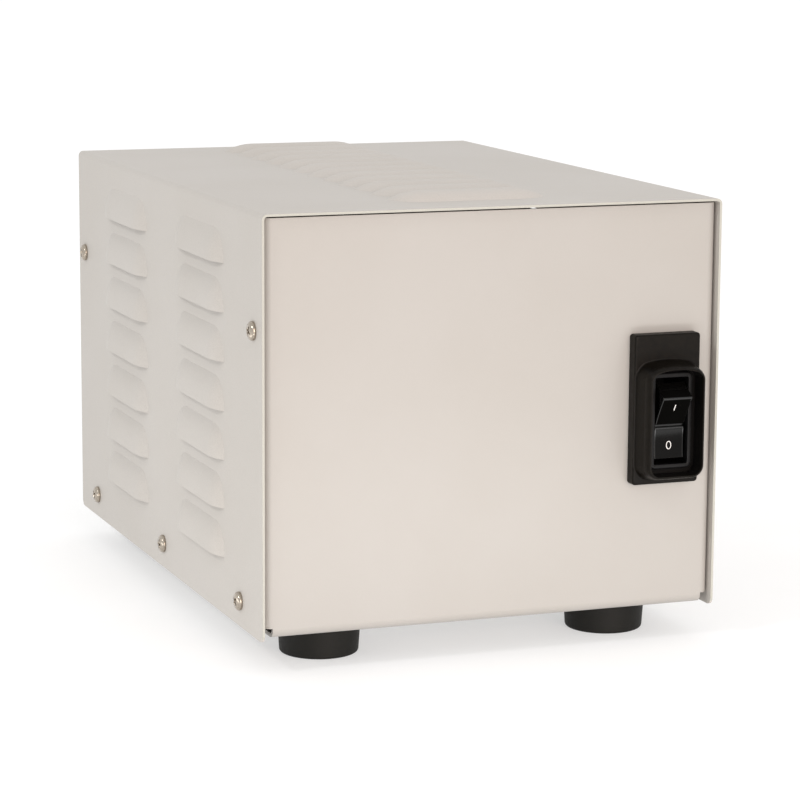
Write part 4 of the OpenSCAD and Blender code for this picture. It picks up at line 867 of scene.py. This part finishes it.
class TRANSFORMER_OT_screws(bpy.types.Operator):
    """Turns the pan head screws of the cover and of the outlets, with their cross recesses"""

    bl_idname = "transformer.screws"
    bl_label = "Pan head screws"

    # Head radius, head height and length under the head
    cover_screw = (3.5 * MM, 2.0 * MM, 9.5 * MM)
    outlet_screw = (3.4 * MM, 1.9 * MM, 6.4 * MM)
    shank_r = 1.7 * MM
    outlet_screw_inset = 3.33 * MM

    # Rows of the cover's screws: their height over its lower edge and the inset from its two ends
    upper_height, upper_inset = 111.36 * MM, 10.0 * MM
    lower_height, lower_inset = 9.6 * MM, 26.7 * MM

    # The cover's box goes this far past its flat sides
    louvre_rise = 3.1 * MM

    # Turns of the recesses in degrees: the base, and what each next screw and side, or column and row, adds
    cover_turns = (23.0, 37.0, 50.0)
    outlet_turns = (15.0, 41.0, 67.0)

    def execute(self, context):
        self.add_cover_screws()
        self.add_outlet_screws()
        return {"FINISHED"}

    def add_cover_screws(self):
        """Five screws on each side of the cover, two in the upper row and three in the lower."""
        low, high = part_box("wrap_cover")
        upper_z, lower_z = low.z + self.upper_height, low.z + self.lower_height
        places = (
            (low.y + self.upper_inset, upper_z),
            (high.y - self.upper_inset, upper_z),
            (low.y + self.lower_inset, lower_z),
            ((low.y + high.y) / 2, lower_z),
            (high.y - self.lower_inset, lower_z),
        )
        base, per_screw, per_side = self.cover_turns
        mesh = bmesh.new()
        for side in (-1, 1):
            side_x = side * (high.x - self.louvre_rise)
            facing = Matrix.Rotation(math.radians(90.0 * side), 4, "Y")
            for number, (y, z) in enumerate(places):
                place = Matrix.Translation((side_x, y, z)) @ facing
                self.add_screw(mesh, place, self.cover_screw, base + per_screw * number + per_side * side)
        add_piece("cover_pan_screws", mesh, "zinc_screw", "case", ("cover_screws",), material="case_screw")

    def add_outlet_screws(self):
        """Four screws in the rear panel, at the upper and lower end of each outlet's strap."""
        low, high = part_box("outlet_mount_screws")
        inset = self.outlet_screw_inset
        base, per_column, per_row = self.outlet_turns
        facing = Matrix.Rotation(math.radians(-90.0), 4, "X")
        mesh = bmesh.new()
        for column, x in enumerate((low.x + inset, high.x - inset)):
            for row, z in enumerate((low.z + inset, high.z - inset)):
                place = Matrix.Translation((x, PANEL_REAR_Y, z)) @ facing
                self.add_screw(mesh, place, self.outlet_screw, base + per_column * column + per_row * row)
        add_piece("outlet_pan_screws", mesh, "zinc_screw", "case", ("outlet_mount_screws",))

    def add_screw(self, mesh, place, size, turned):
        """Adds one screw at a place, its recess turned by an angle in degrees."""
        head_r, head_h, length = size
        one = pan_head(head_r, head_h, self.shank_r, length)
        one.transform(place @ Matrix.Rotation(math.radians(turned), 4, "Z"))
        join_into(mesh, one)


def join_into(mesh, other):
    """Adds a bmesh to another through a throwaway mesh."""
    data = bpy.data.meshes.new("joined")
    other.to_mesh(data)
    other.free()
    mesh.from_mesh(data)
    bpy.data.meshes.remove(data)


def circle_points(radius, steps):
    """Points of a circle, the first on the X axis."""
    angles = [math.tau * i / steps for i in range(steps)]
    return [(radius * math.cos(a), radius * math.sin(a)) for a in angles]


def cross_points(length, width, steps):
    """Points of a cross with soft ends and inner corners, at the angles of a circle."""
    corner_share, nearly_zero = 1.35, 1e-6
    points = []
    for x, y in circle_points(1.0, steps):
        reach = min(length, max(width / max(min(abs(x), abs(y)), nearly_zero), width * corner_share))
        points.append((reach * x, reach * y))
    return points


def pan_head(head_r, head_h, shank_r, shank_l):
    """A pan head screw on the Z axis: its seat at zero, a crowned head and a tapered cross recess."""
    mesh = bmesh.new()
    steps, crown_steps = 48, 5
    tip_r, point_z = shank_r * 0.55, -shank_l * 0.82
    seat_r, top_r = head_r * 0.97, head_r * 0.72
    side_z, crown_h = head_h * 0.22, head_h * 0.66
    arm_w, arm_l, arm_z = head_r * 0.13, head_r * 0.56, head_h * 0.985
    dip_r, dip_z = arm_l * 1.15, head_h * 0.97
    floor_w, floor_l, floor_z = arm_w * 0.8, arm_l * 0.62, head_h * 0.35
    levels = [
        (circle_points(tip_r, steps), -shank_l),
        (circle_points(shank_r, steps), point_z),
        (circle_points(shank_r, steps), 0.0),
        (circle_points(seat_r, steps), 0.0),
    ]
    for i in range(crown_steps + 1):
        a = math.radians(90.0 * i / crown_steps)
        crown_r = top_r + (head_r - top_r) * math.cos(a)
        levels.append((circle_points(crown_r, steps), side_z + crown_h * math.sin(a)))
    levels += [
        (circle_points(dip_r, steps), dip_z),
        (cross_points(arm_l, arm_w, steps), arm_z),
        (cross_points(floor_l, floor_w, steps), floor_z),
    ]
    rings = []
    for outline, z in levels:
        verts = bmesh.ops.create_circle(mesh, segments=steps, radius=1.0)["verts"]
        for vert, (x, y) in zip(verts, outline):
            vert.co = (x, y, z)
        rings.append(list({edge for vert in verts for edge in vert.link_edges}))
    bridge_all(mesh, rings, closed=False)
    close_ring(mesh, rings[0])
    close_ring(mesh, rings[-1])
    tidy_normals(mesh)
    return mesh


class TRANSFORMER_OT_outlets(bpy.types.Operator):
    """Moulds the two duplex outlets: a body behind the panel and two faces with blade and ground slots"""

    bl_idname = "transformer.outlets"
    bl_label = "Rear outlets"

    face_r, half_flats, face_edge = 17.2 * MM, 14.1 * MM, 0.8 * MM
    face_proud = 2.8 * MM
    pitch = 38.9 * MM
    body_chamfer, body_corner_r = 1.2 * MM, 3.0 * MM
    blade_w, short_blade_h, long_blade_h = 2.0 * MM, 6.8 * MM, 8.4 * MM
    blade_spread, blade_rise, blade_corner_r = 6.35 * MM, 3.2 * MM, 0.3 * MM
    ground_r, ground_flat, ground_drop = 2.5 * MM, 1.8 * MM, 8.7 * MM
    slot_depth, slot_flare, slot_flare_depth = 8.0 * MM, 0.25 * MM, 0.3 * MM

    def execute(self, context):
        for side in ("left", "right"):
            node = "outlet_body_" + side
            low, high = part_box(node)
            middle = ((low.x + high.x) / 2, (low.z + high.z) / 2)
            panel_y = high.y - self.face_proud
            chamfer = self.body_chamfer
            mesh = bmesh.new()
            rings = []
            for y, inset in ((low.y, chamfer), (low.y + chamfer, 0.0), (panel_y, 0.0)):
                corner_r = self.body_corner_r - inset
                width, height = high.x - low.x - 2 * inset, high.z - low.z - 2 * inset
                outline = rounded_outline(width, height, corner_r, corner_r)
                rings.append(upright_ring(mesh, outline, y, middle))
            bridge_all(mesh, rings, closed=False)
            close_ring(mesh, rings[0])
            faces = [
                self.add_face(mesh, panel_y, high.y, (middle[0], middle[1] + rise))
                for rise in (-self.pitch / 2, self.pitch / 2)
            ]
            fill_between(mesh, [rings[-1]] + faces)
            tidy_normals(mesh)
            add_piece("duplex_outlet_" + side, mesh, "outlet_plastic", "case", (node,), smooth_angle=30.0)
        return {"FINISHED"}

    def face_outline(self, inset):
        """A circle with its top and bottom cut flat."""
        steps = 72
        outline = []
        for i in range(steps):
            a = math.tau * (i + 0.5) / steps
            level = max(-1.0, min(1.0, math.sin(a) * self.face_r / self.half_flats))
            outline.append(((self.face_r - inset) * math.cos(a), (self.half_flats - inset) * level))
        return outline

    def add_face(self, mesh, panel_y, front_y, middle):
        """One round face with two flats and its slots; returns its ring at the panel."""
        edge = self.face_edge
        rings = []
        for inset, y in [(0.0, panel_y)] + arc_points((edge, front_y - edge), edge, 180.0, 90.0, 4):
            rings.append(upright_ring(mesh, self.face_outline(inset), y, middle))
        bridge_all(mesh, rings, closed=False)
        mouths = [rings[-1]]
        for x, rise, shape in (
            (-self.blade_spread, self.blade_rise, lambda grow: self.blade_slot(self.short_blade_h, grow)),
            (self.blade_spread, self.blade_rise, lambda grow: self.blade_slot(self.long_blade_h, grow)),
            (0.0, -self.ground_drop, self.ground_slot),
        ):
            place = (middle[0] + x, middle[1] + rise)
            depths = ((self.slot_flare, 0.0), (0.0, self.slot_flare_depth), (0.0, self.slot_depth))
            tunnel = [upright_ring(mesh, shape(grow), front_y - depth, place) for grow, depth in depths]
            bridge_all(mesh, tunnel, closed=False)
            close_ring(mesh, tunnel[-1])
            mouths.append(tunnel[0])
        fill_between(mesh, mouths)
        return rings[0]

    def blade_slot(self, height, grow):
        """Outline of a blade slot, wider by grow on every side."""
        corner_r = self.blade_corner_r + grow
        width = self.blade_w + 2 * grow
        return rounded_outline(width, height + 2 * grow, corner_r, corner_r, steps=3, top_steps=2)

    def ground_slot(self, grow):
        """Outline of a ground hole, round with a flat top, wider by grow on every side."""
        return [(x, min(y, self.ground_flat + grow)) for x, y in circle_points(self.ground_r + grow, 40)]


class TRANSFORMER_OT_gland(bpy.types.Operator):
    """Moulds the cord gland: a body with a chamfered hexagon and a ribbed dome nut"""

    bl_idname = "transformer.gland"
    bl_label = "Cord gland"

    # Levels from the panel's face with the radius there, in millimetres: the outside, then the bore
    body_section = (
        (-9.0, 8.7), (-8.5, 9.2), (0.0, 9.2), (0.0, 11.6), (0.5, 12.7), (3.5, 12.7), (4.0, 11.6), (4.0, 9.2),
        (12.5, 9.2), (13.0, 8.7), (13.0, 7.15), (5.0, 7.15), (5.0, 6.0), (-9.0, 6.0),
    )
    nut_hexagon = ((4.1, 9.35), (4.1, 11.6), (4.6, 12.7), (11.2, 12.7), (12.0, 11.3), (12.3, 11.0))
    nut_bore = ((18.8, 6.4), (18.3, 6.0), (14.6, 6.0), (14.6, 9.35))
    dome_middle, dome_r = (7.4, 15.4), 3.6

    # Half the width over the flats, and the ribs of the dome: where they begin, their least radius and depth
    half_flats = 11.0
    rib_begin, rib_least_r, rib_depth = 12.0, 7.5, 0.35
    ribs, steps = 24, 144

    def execute(self, context):
        self.add_turned(self.body_section, 0.0, "gland_hexagon_body", "gland_body")
        dome = [(level, radius) for radius, level in arc_points(self.dome_middle, self.dome_r, 0.0, 90.0, 8)]
        nut_section = list(self.nut_hexagon) + dome + list(self.nut_bore)
        self.add_turned(nut_section, self.rib_depth, "gland_ribbed_nut", "gland_dome_nut")
        return {"FINISHED"}

    def add_turned(self, section, rib, name, node):
        """Rings of a hexagon turned down to a radius at each level, in millimetres, with ribs on a dome."""
        low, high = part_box(node)
        axis = ((low.x + high.x) / 2, (low.z + high.z) / 2)
        mesh = bmesh.new()
        rings = []
        for level, limit in section:
            ribbed = rib if level > self.rib_begin and limit > self.rib_least_r else 0.0
            outline = []
            for i in range(self.steps):
                a = math.tau * i / self.steps
                hexagon = self.half_flats / math.cos(math.radians(math.degrees(a) % 60.0 - 30.0))
                radius = (min(limit, hexagon) - ribbed * (0.5 - 0.5 * math.cos(self.ribs * a))) * MM
                outline.append((radius * math.cos(a), radius * math.sin(a)))
            rings.append(upright_ring(mesh, outline, PANEL_REAR_Y + level * MM, axis))
        bridge_all(mesh, rings, closed=True)
        tidy_normals(mesh)
        add_piece(name, mesh, "gland_nylon", "case", (node,))


class TRANSFORMER_OT_feet(bpy.types.Operator):
    """Moulds the four rubber feet with round lower edges and a screw well"""

    bl_idname = "transformer.feet"
    bl_label = "Feet"

    taper, taper_share = 0.8 * MM, 0.9
    low_edge, top_edge, top_band = 1.2 * MM, 0.35 * MM, 1.0 * MM
    screw_r, well_r, well_depth = 2.25 * MM, 6.0 * MM, 5.0 * MM
    well_chamfer, well_edge = 0.4 * MM, 0.5 * MM

    def profile(self, top_r, height):
        """Radius and height along a foot: screw hole, well, sole, tapered side and top edge."""
        low_r = top_r - self.taper
        well_floor_r, well_side_z = self.well_r - self.well_chamfer, self.well_depth - self.well_chamfer
        points = [(self.screw_r, height), (self.screw_r, self.well_depth)]
        points += [(well_floor_r, self.well_depth), (self.well_r, well_side_z)]
        points += arc_points((self.well_r + self.well_edge, self.well_edge), self.well_edge, 180.0, 270.0, 3)
        points += arc_points((low_r - self.low_edge, self.low_edge), self.low_edge, -90.0, 0.0, 8)
        points += [
            (low_r + (top_r - low_r) * self.taper_share, height - self.top_band),
            (top_r, height - self.top_edge),
        ]
        points += arc_points((top_r - self.top_edge, height - self.top_edge), self.top_edge, 0.0, 90.0, 3)
        return points + [(self.screw_r, height)]

    def execute(self, context):
        for node in ("foot_front_left", "foot_front_right", "foot_rear_left", "foot_rear_right"):
            low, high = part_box(node)
            mesh = bmesh.new()
            spun_profile(mesh, self.profile((high.x - low.x) / 2, high.z), steps=72)
            mesh.transform(Matrix.Translation(((low.x + high.x) / 2, (low.y + high.y) / 2, 0.0)))
            add_piece(node.replace("foot", "rubber_foot"), mesh, "foot_rubber", "case", (node,))
        return {"FINISHED"}


class TRANSFORMER_OT_stage(bpy.types.Operator):
    """Sets the pale floor, the soft lights and the camera at the photograph's place"""

    bl_idname = "transformer.stage"
    bl_label = "Stage"

    floor_r = 12.0
    side_bounce_share = 0.45

    # Where the lights aim, and the place and size of each, in metres
    aim = Vector((0.0, 0.0, 0.08))
    key_light = ((0.1, -2.4, 0.5), (1.2, 1.2))
    side_light = ((-1.5, -0.55, 1.38), (0.25, 0.25))
    front_strip = ((0.0, -0.30, 0.01), (0.36, 0.05))
    side_strip = ((-0.25, -0.05, 0.01), (0.30, 0.05))

    # The camera solved from the case's corners, its turns in degrees and its lens in millimetres
    camera_place = (-0.4056, -1.1130, 0.2822)
    camera_turns = (20.527, 9.963, 0.349)
    camera_lens, camera_sensor = 134.39, 36.0

    def execute(self, context):
        settings = context.scene.transformer_stage
        scene = context.scene
        self.add_floor(scene, settings.floor, settings.table)
        self.add_sky(scene, settings.sky)
        side_bounce = self.side_bounce_share * settings.bounce
        self.add_light(scene, "key", self.key_light, settings.key, settings.warmth)
        self.add_light(scene, "side", self.side_light, settings.side)
        self.add_light(scene, "front_strip", self.front_strip, settings.bounce)
        self.add_light(scene, "side_strip", self.side_strip, side_bounce)
        self.add_camera(scene)
        scene.view_settings.view_transform = "Standard"
        return {"FINISHED"}

    def add_floor(self, scene, colour, glow):
        """A wide round table top that glows a little, so that it stays as white as the surround."""
        mesh = bmesh.new()
        bmesh.ops.create_circle(mesh, cap_ends=True, segments=64, radius=self.floor_r)
        data = bpy.data.meshes.new("floor")
        mesh.to_mesh(data)
        mesh.free()
        surface = workshop.finish("lit_table", colour, 0.7, "powder", 0.004, 0.00002, vary=0.005, glow=glow)
        data.materials.append(surface)
        floor = bpy.data.objects.new("floor", data)
        scene.collection.objects.link(floor)

    def add_sky(self, scene, strength):
        """An even white surround."""
        world = bpy.data.worlds.new("soft_surround")
        world.use_nodes = True
        background = world.node_tree.nodes["Background"]
        background.inputs["Color"].default_value = WHITE
        background.inputs["Strength"].default_value = strength
        scene.world = world

    def add_light(self, scene, name, setup, power, colour=WHITE[:3]):
        """An oval soft light of a given place and size that faces the case and isn't seen itself."""
        place, size = setup
        light = bpy.data.lights.new(name, "AREA")
        light.shape = "ELLIPSE"
        light.size, light.size_y = size
        light.energy, light.color = power, colour
        lamp = bpy.data.objects.new(name, light)
        lamp.location = place
        lamp.rotation_mode = "QUATERNION"
        lamp.rotation_quaternion = (self.aim - Vector(place)).to_track_quat("-Z", "Y")
        lamp.visible_camera = False
        scene.collection.objects.link(lamp)

    def add_camera(self, scene):
        """The camera at the photograph's place."""
        yaw, pitch, roll = (math.radians(a) for a in self.camera_turns)
        ahead = Vector((math.sin(yaw) * math.cos(pitch), math.cos(yaw) * math.cos(pitch), -math.sin(pitch)))
        data = bpy.data.cameras.new("photo_camera")
        data.sensor_width = self.camera_sensor
        data.lens = self.camera_lens
        camera = bpy.data.objects.new("photo_camera", data)
        camera.location = self.camera_place
        camera.rotation_mode = "QUATERNION"
        camera.rotation_quaternion = ahead.to_track_quat("-Z", "Y") @ Quaternion((0.0, 0.0, 1.0), roll)
        scene.collection.objects.link(camera)
        scene.camera = camera


class TRANSFORMER_PT_panel(bpy.types.Panel):
    """Lists the steps and their settings"""

    bl_idname = "TRANSFORMER_PT_panel"
    bl_label = "Isolation Transformer"
    bl_space_type = "VIEW_3D"
    bl_region_type = "UI"
    bl_category = "Transformer"

    def draw(self, context):
        layout = self.layout
        for step in STEPS:
            layout.operator(step.bl_idname)
        for group in ("transformer_colours", "transformer_sizes", "transformer_stage"):
            settings = getattr(context.scene, group)
            box = layout.box()
            for name in settings.__annotations__:
                box.prop(settings, name)


SETTINGS = (
    ("transformer_colours", TransformerColours),
    ("transformer_sizes", TransformerSizes),
    ("transformer_stage", TransformerStage),
)
STEPS = (
    TRANSFORMER_OT_finishes,
    TRANSFORMER_OT_guard,
    TRANSFORMER_OT_breaker,
    TRANSFORMER_OT_rocker,
    TRANSFORMER_OT_screws,
    TRANSFORMER_OT_outlets,
    TRANSFORMER_OT_gland,
    TRANSFORMER_OT_feet,
    TRANSFORMER_OT_stage,
)


def register():
    for name, group in SETTINGS:
        bpy.utils.register_class(group)
        setattr(bpy.types.Scene, name, PointerProperty(type=group))
    for step in STEPS:
        bpy.utils.register_class(step)
    bpy.utils.register_class(TRANSFORMER_PT_panel)


def unregister():
    bpy.utils.unregister_class(TRANSFORMER_PT_panel)
    for step in reversed(STEPS):
        bpy.utils.unregister_class(step)
    for name, group in reversed(SETTINGS):
        delattr(bpy.types.Scene, name)
        bpy.utils.unregister_class(group)


def main():
    register()
    bpy.ops.transformer.finishes()
    bpy.ops.transformer.guard()
    bpy.ops.transformer.breaker()
    bpy.ops.transformer.rocker()
    bpy.ops.transformer.screws()
    bpy.ops.transformer.outlets()
    bpy.ops.transformer.gland()
    bpy.ops.transformer.feet()
    bpy.ops.transformer.stage()


if __name__ == "__main__":
    main()
